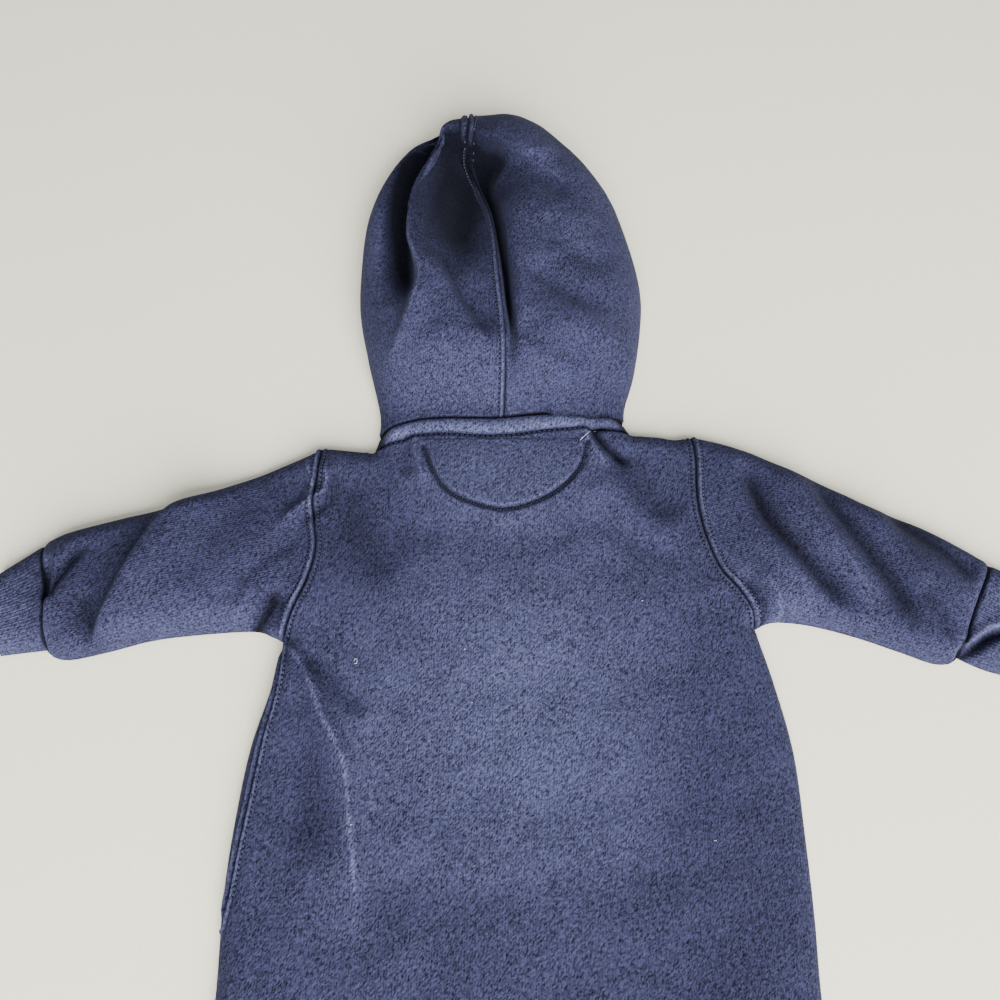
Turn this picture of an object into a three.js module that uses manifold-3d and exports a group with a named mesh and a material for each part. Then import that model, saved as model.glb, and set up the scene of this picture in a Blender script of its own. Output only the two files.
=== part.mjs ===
// A baby's hooded sweatshirt romper, laid out face down: the back, sleeves and spread hood are uppermost,
// and the fronts, the placket and the hood's hems lie on the floor. Millimetres, +Z up, +Y to the hood.
// Each cut piece of fleece or rib is a closed wall made from one outer surface and its own thickness.
import * as THREE from 'three';
import { mergeVertices } from 'three/addons/utils/BufferGeometryUtils.js';
import Module from 'manifold-3d';

const wasm = await Module();
wasm.setup();

// ---- cloth ----
const FLEECE = 2.4;            // brushed sweatshirt fleece
const RIB = 2.2;               // cuffs, two layers of rib
const FACING = 1.4;            // half-moon facing of flat jersey
const GAP = 0.3;               // between neighbouring pieces at every seam

// ---- heights of the laid garment ----
const BODY_LOFT = 10.4;        // outer top of the back over the flat front
const EDGE_MIDDLE = 3.0;       // height of the rolled edge's outermost line
const EDGE_ROLL = 12;          // how far in from the edge the back is still rising
const UNDER_ROLL = 3.4;        // how far in from the edge the front has reached the floor

// ---- neck, placket and snaps ----
const PLACKET_LAP = 11;        // each front runs this far past the centre-front line
const LAP_STEP = 5;            // width of the step that lifts the inner front over the outer one
const LAP_CLEAR = 2.5;         // the step ends this far outside the outer front's edge
const PRESSED = 1.8;           // fleece pressed flat where the fronts lap
const BAND_PUFF = 1.6;         // the band's ridge stands this far over the back
const SNAP_RADIUS = 5.5;
const SNAP_THICKNESS = 1.1;
const SNAP_COUNT = 7;
const SNAP_FIRST = -14;        // y of the snap at the neck
const SNAP_LAST = -288;

const NAVY = 0x3b4466;
const NAVY_RIB = 0x39425f;
const NAVY_SNAP = 0x2c3350;

// ---- outlines, each through a few points from its start to its end ----
const SHOULDER = {
  left: [[-100, 30], [-86, 28.5], [-72, 27]],
  right: [[108, 37], [99, 35.5], [90, 37], [76, 38]],
};
const BACK_NECK = [[-72, 27], [-62, 30], [-47, 34.8], [-28, 35.3], [-6, 34.3], [10, 35], [26, 37.5], [38, 39],
  [50, 40], [60, 39], [76, 38]];
const ARMHOLE = {
  left: [[-100, 30], [-101, 12], [-102, -10], [-99, -32], [-102.5, -51], [-109, -67], [-113, -83]],
  right: [[108, 37], [109, 20], [108, -4], [111, -25], [117, -43], [126, -56], [132, -67], [134, -76]],
};
const SLEEVE_TOP = {
  left: [[-100, 30], [-109, 25], [-134, 13], [-162, 2], [-185, -7], [-207, -13], [-228, -19], [-239, -23],
    [-246.5, -28.5]],
  right: [[108, 37], [122, 34], [139, 28], [157, 19], [185, 4], [207, -8], [229, -18], [251, -31],
    [263, -40]],
};
const SLEEVE_UNDER = {
  left: [[-113, -83], [-119, -80], [-130, -77], [-160, -79], [-182, -82], [-204, -88], [-222, -92],
    [-231, -91], [-236, -87]],
  right: [[134, -76], [140, -73], [148, -72], [164, -74], [186, -80], [208, -88], [224, -94],
    [233, -94], [237, -91]],
};
const CUFF_SEAM = {
  left: [[-246.5, -28.5], [-243.5, -41], [-239, -55], [-237, -72], [-236, -87]],
  right: [[263, -40], [253, -57], [243, -76], [237, -91]],
};
const CUFF_TOP = {
  left: [[-246.5, -28.5], [-258, -37], [-270, -46]],
  right: [[263, -40], [274, -46], [285, -54]],
};
const CUFF_UNDER = {
  left: [[-236, -87], [-248, -88.5], [-260, -90]],
  right: [[237, -91], [249, -97], [262, -101]],
};
const SIDE = {
  left: [[-113, -83], [-118, -109], [-125, -137], [-129, -170], [-131, -205], [-130, -250],
    [-131, -300], [-130, -338]],
  right: [[134, -76], [141, -105], [147, -140], [148, -180], [148, -216], [147, -250],
    [148, -300], [147, -338]],
};
const CROTCH = [8.5, -338];
const LEG_OUTER = {
  left: [[-130, -338], [-128, -380], [-122, -430], [-114, -462], [-107, -478]],
  right: [[147, -338], [145, -380], [139, -430], [131, -462], [124, -478]],
};
const LEG_INNER = {
  left: [[8.5, -338], [-2, -356], [-10, -390], [-18, -430], [-26, -462], [-34, -478]],
  right: [[8.5, -338], [19, -356], [27, -390], [35, -430], [43, -462], [51, -478]],
};
const ANKLE_OUTER = {
  left: [[-107, -478], [-104, -500], [-103, -521]],
  right: [[124, -478], [121, -500], [120, -521]],
};
const ANKLE_INNER = {
  left: [[-34, -478], [-38, -500], [-39, -521]],
  right: [[51, -478], [55, -500], [56, -521]],
};
const FRONT_NECK = {
  left: [[-72, 27], [-60, 21], [-40, 11], [-20, 5], [4, 2.5]],
  right: [[76, 38], [66, 25], [48, 12], [28, 5], [4, 2.5]],
};
const HALF_MOON = {
  left: [[-43, 27], [-36, 10], [-27, -1], [-12, -8], [3, -10.5]],
  right: [[49, 30], [45, 16], [34, 2.5], [19, -6.5], [3, -10.5]],
};
// The hood seen from above: the crown is the far end, and each hem lies on the floor inside the outline.
const HOOD_SEAM = [[2, 45], [3, 74], [2, 96], [-1, 127], [-4, 164], [-13, 204], [-20, 226], [-18, 246],
  [-19, 262]];
const HOOD_SIDE = {
  left: [[-69, 37], [-69, 52], [-77, 85], [-83, 116], [-84, 148], [-82, 182], [-73, 213], [-57, 240],
    [-40, 252]],
  right: [[71, 46], [72, 56], [78, 76], [83, 107], [84, 132], [78, 166], [69, 197], [54, 226], [41, 244]],
};
const HOOD_CROWN = {
  left: [[-40, 252], [-30, 257], [-19, 262]],
  right: [[41, 244], [30, 253], [6, 262], [-19, 262]],
};
const HOOD_NECK = {
  left: [[2, 45], [-28, 45], [-45, 44.5], [-60, 40.5], [-69, 37]],
  right: [[2, 45], [14, 46.5], [34, 47.5], [46, 46.5], [60, 46], [71, 46]],
};
const HOOD_HEM = {
  left: [[1, 13], [-28, 46], [-48, 88], [-58, 130], [-58, 170], [-48, 206], [-32, 228], [-19, 236]],
  right: [[7, 13], [32, 46], [50, 84], [60, 124], [59, 160], [48, 196], [22, 228], [-19, 236]],
};

// ---- loft over the plain body height: soft round swells of the cloth, by place, reach and height ----
const SWELLS = [
  { name: 'left sleeve', x: -165, y: -38, reach: 48, height: 5 },
  { name: 'left elbow', x: -215, y: -55, reach: 26, height: 3.5 },
  { name: 'right sleeve', x: 175, y: -30, reach: 50, height: 5 },
  { name: 'right elbow', x: 228, y: -58, reach: 26, height: 3.5 },
  { name: 'neck', x: 3, y: 30, reach: 75, height: 3.4 },
  { name: 'seat', x: 8, y: -290, reach: 95, height: 3 },
];
// ---- large folds of the back and sleeves: a ridge (or a trough, below zero) along a line in plan.
// near and far are its half-widths on the left-hand and right-hand side of the line ----
const FOLDS = [
  { name: 'left back fold', height: 3.2, near: 5, far: 14,
    line: [[-110, -86], [-94, -112], [-81, -138], [-74, -170], [-68, -200], [-66, -222]] },
  { name: 'left sleeve fold', height: 3.4, near: 15, far: 5,
    line: [[-170, 2], [-179, -14], [-192, -41], [-201, -65], [-210, -88]] },
  { name: 'right sleeve fold', height: -3, near: 9, far: 7,
    line: [[139, 18], [157, -22], [169, -43], [184, -68]] },
];

// ---- hood heights ----
const HOOD_LOFT = { left: 36, right: 42 };   // outer height of the dome on each side of the seam
const LOFT_CHANGE = { from: -15, over: 40 }; // x where the left side's height starts to become the right's
const HOOD_ROLL = 52;                        // how far in from its edge the dome is still rising
const HOOD_EDGE = 11;                        // height of the hood's outermost line, away from the neck
const EDGE_LIFT = { from: 42, over: 60 };    // y where that line starts to rise from the body's edge
const DOME_START = { from: 44, over: 46 };   // y where the body's top starts to swell into the dome
const HEM_EASE = 2;                          // added to the edge's height for the reach of the roll under
const HOOD_FOLDS = [
  { name: 'left overlap', height: 15, near: 15, far: 4.5,
    line: [[-36, 252], [-41, 222], [-50, 198], [-54, 172], [-51, 145], [-46, 122], [-52, 98]] },
  { name: 'left pocket', height: -22, near: 5, far: 7,
    line: [[-44, 240], [-60, 205], [-62, 180], [-59, 152], [-56, 128]] },
  { name: 'seam valley', height: -15, near: 3, far: 6,
    line: [[-11, 226], [-6, 204], [1, 164], [4, 127], [6, 98]] },
];

// ---- shaping functions ----
const curveThrough = (points) => new THREE.SplineCurve(points.map(([x, y]) => new THREE.Vector2(x, y)));
const mix = (a, b, t) => a + (b - a) * t;
const mixPoints = (p, q, t) => new THREE.Vector2(mix(p.x, q.x, t), mix(p.y, q.y, t));
const smooth = (t) => THREE.MathUtils.smoothstep(t, 0, 1);
const quarterRound = (t) => (t >= 1 ? 1 : Math.sqrt(1 - (1 - Math.max(0, t)) ** 2));

function distanceToLine(points, x, y) {
  let best = { distance: Infinity, side: 1, along: 0 };
  for (let i = 0; i + 1 < points.length; i += 1) {
    const [a, b] = [points[i], points[i + 1]];
    const [dx, dy] = [b.x - a.x, b.y - a.y];
    const t = Math.min(1, Math.max(0, ((x - a.x) * dx + (y - a.y) * dy) / (dx * dx + dy * dy)));
    const distance = Math.hypot(x - a.x - t * dx, y - a.y - t * dy);
    if (distance < best.distance) {
      const side = dx * (y - a.y) - dy * (x - a.x) >= 0 ? 1 : -1;
      best = { distance, side, along: (i + t) / (points.length - 1) };
    }
  }
  return best;
}

const LINE_STEPS = 24;         // straight steps that a line through points is measured by
const sampled = (points, count = LINE_STEPS) => curveThrough(points).getPoints(count);
const FOLD_ENDS = { first: 0.2, last: 0.25 };   // shares of a fold's line in which it fades out
const foldLines = (folds) => folds.map((fold) => ({ ...fold, samples: sampled(fold.line) }));

function foldsAt(folds, x, y) {
  let rise = 0;
  for (const fold of folds) {
    const { distance, side, along } = distanceToLine(fold.samples, x, y);
    const width = side > 0 ? fold.near : fold.far;
    const taper = smooth(along / FOLD_ENDS.first) * smooth((1 - along) / FOLD_ENDS.last);
    rise += fold.height * taper * Math.exp(-((distance / width) ** 2));
  }
  return rise;
}

// ---- the garment's outline without the hood. It runs on past the neck, the cuffs and the ankles,
// whose ends are cut and not rolled ----
const PAST_THE_END = 40;
function runOn(end, before) {
  const step = new THREE.Vector2().subVectors(end, before).setLength(PAST_THE_END);
  return end.clone().add(step);
}
function pastBothEnds(first, second) {
  const a = sampled(first);
  const b = sampled(second);
  return [...a, runOn(a.at(-1), a.at(-2)), runOn(b.at(-1), b.at(-2)), ...b.reverse()];
}
const SHOULDER_STEPS = 6;
const neckStub = [[76, 38], [71, 46], [73, 90], [-69, 90], [-69, 37], [-72, 27]]
  .map(([x, y]) => new THREE.Vector2(x, y));
const OUTLINE = [
  ...neckStub,
  ...sampled(SHOULDER.left, SHOULDER_STEPS).reverse(),
  ...sampled(SLEEVE_TOP.left),
  ...pastBothEnds(CUFF_TOP.left, CUFF_UNDER.left),
  ...sampled(SLEEVE_UNDER.left).reverse(),
  ...sampled(SIDE.left),
  ...sampled(LEG_OUTER.left),
  ...pastBothEnds(ANKLE_OUTER.left, ANKLE_INNER.left),
  ...sampled(LEG_INNER.left).reverse(),
  ...sampled(LEG_INNER.right),
  ...pastBothEnds(ANKLE_INNER.right, ANKLE_OUTER.right),
  ...sampled(LEG_OUTER.right).reverse(),
  ...sampled(SIDE.right).reverse(),
  ...sampled(SLEEVE_UNDER.right),
  ...pastBothEnds(CUFF_UNDER.right, CUFF_TOP.right),
  ...sampled(SLEEVE_TOP.right).reverse(),
  ...sampled(SHOULDER.right, SHOULDER_STEPS),
];
const FOLD_LINES = foldLines(FOLDS);

const swellAt = (x, y) => SWELLS.reduce(
  (sum, s) => sum + s.height * Math.exp(-(((x - s.x) ** 2 + (y - s.y) ** 2) / s.reach ** 2)), 0);
function topAt(x, y) {
  const inside = distanceToLine(OUTLINE, x, y).distance;
  const rise = quarterRound(inside / EDGE_ROLL);
  return EDGE_MIDDLE + rise * (BODY_LOFT - EDGE_MIDDLE + swellAt(x, y) + foldsAt(FOLD_LINES, x, y));
}
const underAt = (x, y) => (
  EDGE_MIDDLE * (1 - quarterRound(distanceToLine(OUTLINE, x, y).distance / UNDER_ROLL)));

// ---- outward directions of the two faces of the laid garment ----
const PROBE = 0.6;             // distance between the heights that a slope is taken from
function slopeNormal(heightAt, x, y, up) {
  const slopeX = (heightAt(x + PROBE, y) - heightAt(x - PROBE, y)) / (2 * PROBE);
  const slopeY = (heightAt(x, y + PROBE) - heightAt(x, y - PROBE)) / (2 * PROBE);
  return new THREE.Vector3(-up * slopeX, -up * slopeY, up).normalize();
}
const FEELERS = 16;            // directions that are felt for the inside of an outline
const FEELER = 3;              // and how far
// Level direction out of the outline, for points on it.
function levelNormal(outline, x, y) {
  const inward = new THREE.Vector2();
  for (let i = 0; i < FEELERS; i += 1) {
    const step = new THREE.Vector2(FEELER, 0).rotateAround(new THREE.Vector2(), 2 * Math.PI * i / FEELERS);
    const clear = distanceToLine(outline, x + step.x, y + step.y).distance;
    if (isInside(outline, x + step.x, y + step.y)) inward.addScaledVector(step, clear);
  }
  return new THREE.Vector3(-inward.x, -inward.y, 0).normalize();
}
function isInside(outline, x, y) {
  let inside = false;
  for (let i = 0, j = outline.length - 1; i < outline.length; j = i, i += 1) {
    const [a, b] = [outline[i], outline[j]];
    if ((a.y > y) !== (b.y > y) && x < (b.x - a.x) * (y - a.y) / (b.y - a.y) + a.x) inside = !inside;
  }
  return inside;
}
const ON_THE_EDGE = 0.4;       // a point this near the outline is on the rolled edge's outermost line
// A point of a cloth face: its place and the direction out of the cloth there. seamLift moves a point
// of the rolled edge up or down, where two pieces meet on that edge.
function facePoint(outline, heightAt, x, y, up, seamLift = 0) {
  const onEdge = distanceToLine(outline, x, y).distance < ON_THE_EDGE;
  const normal = onEdge ? levelNormal(outline, x, y) : slopeNormal(heightAt, x, y, up);
  return { place: new THREE.Vector3(x, y, onEdge ? EDGE_MIDDLE + seamLift : heightAt(x, y)), normal };
}
const topPoint = (p, seamLift) => facePoint(OUTLINE, topAt, p.x, p.y, 1, seamLift);
const underPoint = (p, seamLift) => facePoint(OUTLINE, underAt, p.x, p.y, -1, seamLift);

// ---- four-sided patches ----
// A point of a patch between two rows (start, end) and two sides (low, high).
function patchPoint({ start, end, low, high }, s, t) {
  const rows = mixPoints(start(t), end(t), s);
  const sides = mixPoints(low(s), high(s), t);
  const corners = mixPoints(mixPoints(start(0), start(1), t), mixPoints(end(0), end(1), t), s);
  return rows.add(sides).sub(corners);
}
function along(points) {
  const curve = curveThrough(points);
  return (t) => curve.getPointAt(t);
}
const backwards = (curve) => (t) => curve(1 - t);
const straight = (a, b) => (t) => mixPoints(a, b, t);
const joined = (first, share, second) => (t) => (
  t <= share ? first(t / share) : second((t - share) / (1 - share)));
const offset = (curve, dx) => (t) => curve(t).clone().add(new THREE.Vector2(dx, 0));
const gridOf = (edges, rows, columnsAt, toPoint) => rows.map((s) => (
  columnsAt(s).map((t) => toPoint(patchPoint(edges, s, t), s, t))));

// Grids that touch share the points of their common border.
const WELD_DISTANCE = 0.08;
function weld(grids) {
  const known = [];
  const shared = (p) => {
    const twin = known.find((other) => other.place.distanceTo(p.place) < WELD_DISTANCE);
    if (!twin) known.push(p);
    return twin ?? p;
  };
  return grids.map((grid) => grid.map((row) => row.map(shared)));
}

// Moves one side of a grid away from its seam, along the cloth: by half the gap where both pieces lie
// level, and by more where they bend together over an edge or one stands higher than the other.
const HALF_GAP = GAP * 0.6;
const BENT_GAP = GAP * 1.2;    // the hood's lower edge over the band
const TUBE_GAP = GAP * 1.5;    // the ends of sleeves and cuffs, and the hood's middle seam
const SIDE_GAP = GAP * 2;      // the panels' sides along a sleeve and along the left side seam
const NECK_GAP = GAP * 2.5;    // the back's neck edge
const BAND_GAP = GAP * 3;      // the band's lower edge, which is puffed up over the back
function drawBack(grid, sides, distance = HALF_GAP) {
  const last = grid.length - 1;
  const pairs = {
    start: () => grid[0].map((p, j) => [p, grid[1][j]]),
    end: () => grid[last].map((p, j) => [p, grid[last - 1][j]]),
    low: () => grid.map((row) => [row[0], row[1]]),
    high: () => grid.map((row) => [row.at(-1), row.at(-2)]),
  };
  sides.flatMap((side) => pairs[side]()).forEach(([point, next]) => {
    const step = next.place.clone().sub(point.place);
    if (step.length() > distance) point.place.add(step.setLength(distance));
  });
}

// ---- walls ----
// One closed wall from welded grids of face points [row][column]: the outer face, the same face moved
// in by the thickness, and rims between the two.
function wallFrom(grids, thickness) {
  const points = [];
  const indexOf = new Map();
  const vertex = (p) => {
    if (!indexOf.has(p)) {
      indexOf.set(p, points.length);
      points.push(p);
    }
    return indexOf.get(p);
  };
  const faces = [];
  grids.forEach((grid) => {
    const quads = [];
    let agreement = 0;
    for (let i = 0; i + 1 < grid.length; i += 1) {
      for (let j = 0; j + 1 < grid[i].length; j += 1) {
        const [a, b, c, d] = [grid[i][j], grid[i][j + 1], grid[i + 1][j + 1], grid[i + 1][j]];
        quads.push([a, b, c, d].map(vertex));
        const cross = c.place.clone().sub(a.place).cross(d.place.clone().sub(b.place));
        agreement += cross.dot(a.normal);
      }
    }
    quads.forEach(([a, b, c, d]) => {
      [[a, b, c], [a, c, d]].forEach((half) => {
        if (new Set(half).size === 3) faces.push(agreement > 0 ? half : half.reverse());
      });
    });
  });
  const edges = new Map();
  faces.forEach((face) => face.forEach((i, k) => {
    edges.set(`${i},${face[(k + 1) % 3]}`, [i, face[(k + 1) % 3]]);
  }));
  const inner = points.length;
  const triangles = faces.flatMap(([a, b, c]) => [a, b, c, inner + a, inner + c, inner + b]);
  edges.forEach(([i, j]) => {
    if (!edges.has(`${j},${i}`)) triangles.push(i, inner + j, j, i, inner + i, inner + j);
  });
  const innerPlaces = points.map((p) => (
    p.place.clone().addScaledVector(p.normal, -(p.thickness ?? thickness))));
  const places = [...points.map((p) => p.place), ...innerPlaces].flatMap((v) => v.toArray());
  const wall = new THREE.BufferGeometry();
  wall.setAttribute('position', new THREE.Float32BufferAttribute(places, 3));
  wall.setIndex(triangles);
  return wall;
}

// ---- rows and columns, as shares of a patch. They are closer where the edge rolls over ----
const ARMHOLE_STEPS = 10;
const ARMHOLE_ROWS = Array.from({ length: ARMHOLE_STEPS + 1 }, (_, k) => (
  (1 - Math.cos(Math.PI * k / ARMHOLE_STEPS)) / 2));
const SIDE_ROWS = [0, 0.07, 0.16, 0.28, 0.4, 0.55, 0.7, 0.85, 0.92, 1];
const LAP_SIDE_ROWS = SIDE_ROWS.slice(0, 8);   // the placket ends at the last of these
const LEG_ROWS = [0, 0.08, 0.2, 0.4, 0.62, 0.82, 1];
const BACK_HALF = [0, 0.012, 0.04, 0.1, 0.24, 0.4, 0.6, 0.8, 1];
const BACK_LEG = [0, 0.02, 0.07, 0.17, 0.5, 0.83, 0.93, 0.98, 1];
const FRONT_HALF = [0, 0.012, 0.04, 0.1, 0.24, 0.48, 0.76, 0.87, 0.91, 1];
const FRONT_LEG = [0, 0.02, 0.07, 0.17, 0.4, 0.6, 0.83, 0.93, 0.98, 1];
const NECK_SHARE = 0.24;       // share of each half's top edge that is shoulder
const SHOULDER_COLUMNS = 4;    // columns of a half that end on its shoulder
const LEG_SPREAD = 0.08;       // share of the leg in which its columns move apart

const fixed = (columns) => () => columns;
const legColumns = (half, leg) => (s) => half.map((t, j) => mix(t, leg[j], smooth(s / LEG_SPREAD)));
const doubled = (half) => [...half.map((t) => t / 2), ...half.slice(0, -1).reverse().map((t) => 1 - t / 2)];

// ---- the left side seam lies on top, just inside the outline, from the armhole to the waist ----
const SIDE_SEAM_INSET = 6.2;
const SIDE_SEAM_REACH = 0.54;  // share of the side in which it does
const SIDE_SEAM_ROWS = SIDE_ROWS.filter((s) => s < SIDE_SEAM_REACH).length;
const INSET_BLUNTNESS = 0.6;   // below 1, the seam leaves the edge steeply and then runs beside it
const seamInset = (s) => (s <= 0 || s >= SIDE_SEAM_REACH
  ? 0
  : SIDE_SEAM_INSET * Math.sin(Math.PI * s / SIDE_SEAM_REACH) ** INSET_BLUNTNESS);

// ---- the centre-front line, from the neck to the crotch ----
const NECK_POINT = new THREE.Vector2(4, 2.5);
const CHEST_SHARE = 0.241;     // share of the centre-front line that is above the armpits
const centreFront = straight(NECK_POINT, new THREE.Vector2(...CROTCH));
const upperCentre = (s) => centreFront(s * CHEST_SHARE);
const lowerCentre = (s) => centreFront(mix(CHEST_SHARE, 1, s));
const centreX = (y) => mix(NECK_POINT.x, CROTCH[0], (NECK_POINT.y - y) / (NECK_POINT.y - CROTCH[1]));

const legEdges = (side) => ({
  start: straight(along(LEG_OUTER[side])(0), along(LEG_INNER[side])(0)),
  end: straight(along(LEG_OUTER[side])(1), along(LEG_INNER[side])(1)),
  low: along(LEG_OUTER[side]),
  high: along(LEG_INNER[side]),
});

function backPanel() {
  const onTop = (p) => topPoint(p, HALF_GAP);
  const armpits = straight(along(ARMHOLE.left)(1), along(ARMHOLE.right)(1));
  const hips = straight(along(SIDE.left)(1), along(SIDE.right)(1));
  const neckToTip = joined(along(BACK_NECK), (1 - NECK_SHARE) / (1 - NECK_SHARE / 2),
    backwards(along(SHOULDER.right)));
  const topEdge = joined(along(SHOULDER.left), NECK_SHARE / 2, neckToTip);
  const leftSeam = (s) => along(SIDE.left)(s).add(new THREE.Vector2(seamInset(s), 0));
  const columns = fixed(doubled(BACK_HALF));
  const upperEdges = { start: topEdge, end: armpits, low: along(ARMHOLE.left), high: along(ARMHOLE.right) };
  const lowerEdges = { start: armpits, end: hips, low: leftSeam, high: along(SIDE.right) };
  const [upper, lower, ...legs] = weld([
    gridOf(upperEdges, ARMHOLE_ROWS, columns, onTop),
    gridOf(lowerEdges, SIDE_ROWS, columns, onTop),
    ...['left', 'right'].map((side) => (
      gridOf(legEdges(side), LEG_ROWS, legColumns(BACK_HALF, BACK_LEG), onTop))),
  ]);
  const neckColumns = upper.map((row) => row.slice(SHOULDER_COLUMNS, -SHOULDER_COLUMNS));
  drawBack(upper, ['low', 'high'], SIDE_GAP);
  drawBack(neckColumns, ['start'], NECK_GAP);
  drawBack(lower.slice(0, SIDE_SEAM_ROWS), ['low'], SIDE_GAP);
  legs.forEach((leg) => drawBack(leg, ['end']));
  return wallFrom([upper, lower, ...legs], FLEECE);
}

// A front runs from its side seam to the centre-front line and on by the placket lap. The outer front
// lies flat on the floor, and the inner one steps up over it.
function frontPanel(side, isOuter) {
  const lapSign = side === 'left' ? 1 : -1;
  const lapRise = isOuter ? 0 : PRESSED + GAP;
  const lappedAt = (p) => {
    const past = lapSign * (p.x - centreX(p.y)) + PLACKET_LAP;
    return smooth((past + LAP_CLEAR + LAP_STEP) / LAP_STEP);
  };
  const onFloor = (lapEnds, inset) => (p, s) => {
    const point = underPoint(p, inset && inset(s) > 0 ? 0 : -HALF_GAP);
    const lapped = lapEnds(s) ? lappedAt(p) : 0;
    point.place.z += lapRise * lapped;
    point.thickness = mix(FLEECE, PRESSED, lapped);
    return point;
  };
  const armpit = along(ARMHOLE[side])(1);
  const chest = straight(armpit, centreFront(CHEST_SHARE));
  const hip = straight(along(SIDE[side])(1), new THREE.Vector2(...CROTCH));
  const topEdge = joined(along(SHOULDER[side]), NECK_SHARE, along(FRONT_NECK[side]));
  const lapEnd = LAP_SIDE_ROWS.at(-1);
  const inset = side === 'left' ? seamInset : undefined;
  const upperEdges = { start: topEdge, end: chest, low: along(ARMHOLE[side]), high: upperCentre };
  const lowerEdges = { start: chest, end: hip, low: along(SIDE[side]), high: lowerCentre };
  const lapEdges = (middle) => ({
    start: straight(middle(0), offset(middle, lapSign * PLACKET_LAP)(0)),
    end: straight(middle(1), offset(middle, lapSign * PLACKET_LAP)(1)),
    low: middle,
    high: offset(middle, lapSign * PLACKET_LAP),
  });
  const always = () => true;
  const grids = [
    gridOf(upperEdges, ARMHOLE_ROWS, fixed(FRONT_HALF), onFloor(always)),
    gridOf(lowerEdges, SIDE_ROWS, fixed(FRONT_HALF), onFloor((s) => s <= lapEnd, inset)),
    gridOf(legEdges(side), LEG_ROWS, legColumns(FRONT_HALF, FRONT_LEG), onFloor(() => false)),
    gridOf(lapEdges(upperCentre), ARMHOLE_ROWS, fixed([0, 1]), onFloor(always)),
    gridOf(lapEdges(lowerCentre), LAP_SIDE_ROWS, fixed([0, 1]), onFloor(always)),
  ];
  if (inset) {
    const edge = along(SIDE.left);
    const seam = (s) => edge(s).add(new THREE.Vector2(inset(s), 0));
    const round = {
      start: straight(edge(0), seam(0)), end: straight(edge(1), seam(1)), low: edge, high: seam,
    };
    const ontoTop = (p, s) => topPoint(p, inset(s) > 0 ? 0 : -HALF_GAP);
    grids.push(gridOf(round, SIDE_ROWS.slice(0, SIDE_SEAM_ROWS + 1), fixed([0, 0.25, 1]), ontoTop));
  }
  const welded = weld(grids);
  const [upper, lower, leg, upperLap, , round] = welded;
  drawBack(upper, ['low'], SIDE_GAP);
  drawBack(upper.map((row) => row.slice(SHOULDER_COLUMNS)), ['start']);
  drawBack(upperLap, ['start']);
  drawBack(lower.slice(LAP_SIDE_ROWS.length), ['high']);
  drawBack(leg, ['end']);
  if (inset) drawBack(round.slice(1, SIDE_SEAM_ROWS), ['high'], SIDE_GAP);
  return wallFrom(welded, FLEECE);
}

// A flattened tube: across the top from one edge to the other, and back underneath.
function tube(edges, rows, thickness, drawn) {
  const top = gridOf(edges, rows, fixed(ARMHOLE_ROWS), (p) => topPoint(p));
  const under = gridOf(edges, rows, fixed(ARMHOLE_ROWS), (p) => underPoint(p));
  const welded = weld([top, under]);
  welded.forEach((grid) => drawBack(grid, drawn, TUBE_GAP));
  return wallFrom(welded, thickness);
}
const SLEEVE_ROWS = [0, 0.08, 0.2, 0.34, 0.48, 0.62, 0.76, 0.9, 1];
const sleeve = (side) => tube({
  start: along(ARMHOLE[side]), end: along(CUFF_SEAM[side]),
  low: along(SLEEVE_TOP[side]), high: along(SLEEVE_UNDER[side]),
}, SLEEVE_ROWS, FLEECE, ['start', 'end']);
const CUFF_ROWS = [0, 0.33, 0.66, 1];
const cuff = (side) => tube({
  start: along(CUFF_SEAM[side]), end: straight(along(CUFF_TOP[side])(1), along(CUFF_UNDER[side])(1)),
  low: along(CUFF_TOP[side]), high: along(CUFF_UNDER[side]),
}, CUFF_ROWS, RIB, ['start']);
const ankleCuff = (side) => tube({
  start: straight(along(ANKLE_OUTER[side])(0), along(ANKLE_INNER[side])(0)),
  end: straight(along(ANKLE_OUTER[side])(1), along(ANKLE_INNER[side])(1)),
  low: along(ANKLE_OUTER[side]), high: along(ANKLE_INNER[side]),
}, CUFF_ROWS, RIB, ['start']);

// ---- hood: a hollow dome whose sides roll under and end in hems on the floor ----
const hoodSideLine = (side) => [...sampled(HOOD_SIDE[side]), ...sampled(HOOD_CROWN[side])];
const HOOD_OUTLINE = [
  new THREE.Vector2(71, -20), new THREE.Vector2(-69, -20),
  ...hoodSideLine('left'), ...hoodSideLine('right').reverse(),
];
const HOOD_FOLD_LINES = foldLines(HOOD_FOLDS);
const changed = ({ from, over }, at) => smooth((at - from) / over);
const hoodEdgeAt = (y) => mix(EDGE_MIDDLE, HOOD_EDGE, changed(EDGE_LIFT, y));

const FOLDED_SHARE = 1.4;      // the folds reach their full height well before the dome does
function domeAt(x, y) {
  const rise = quarterRound(distanceToLine(HOOD_OUTLINE, x, y).distance / HOOD_ROLL);
  const loft = mix(HOOD_LOFT.left, HOOD_LOFT.right, changed(LOFT_CHANGE, x));
  const edge = hoodEdgeAt(y);
  return edge + (loft - edge) * rise + smooth(rise * FOLDED_SHARE) * foldsAt(HOOD_FOLD_LINES, x, y);
}
// The hood starts at the height of the neck band and swells into the dome.
const hoodTopAt = (x, y) => mix(topAt(x, y), domeAt(x, y), changed(DOME_START, y));
function hoodTopPoint(p) {
  const point = facePoint(HOOD_OUTLINE, hoodTopAt, p.x, p.y, 1);
  if (distanceToLine(HOOD_OUTLINE, p.x, p.y).distance < ON_THE_EDGE) point.place.z = hoodEdgeAt(p.y);
  return point;
}

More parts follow.
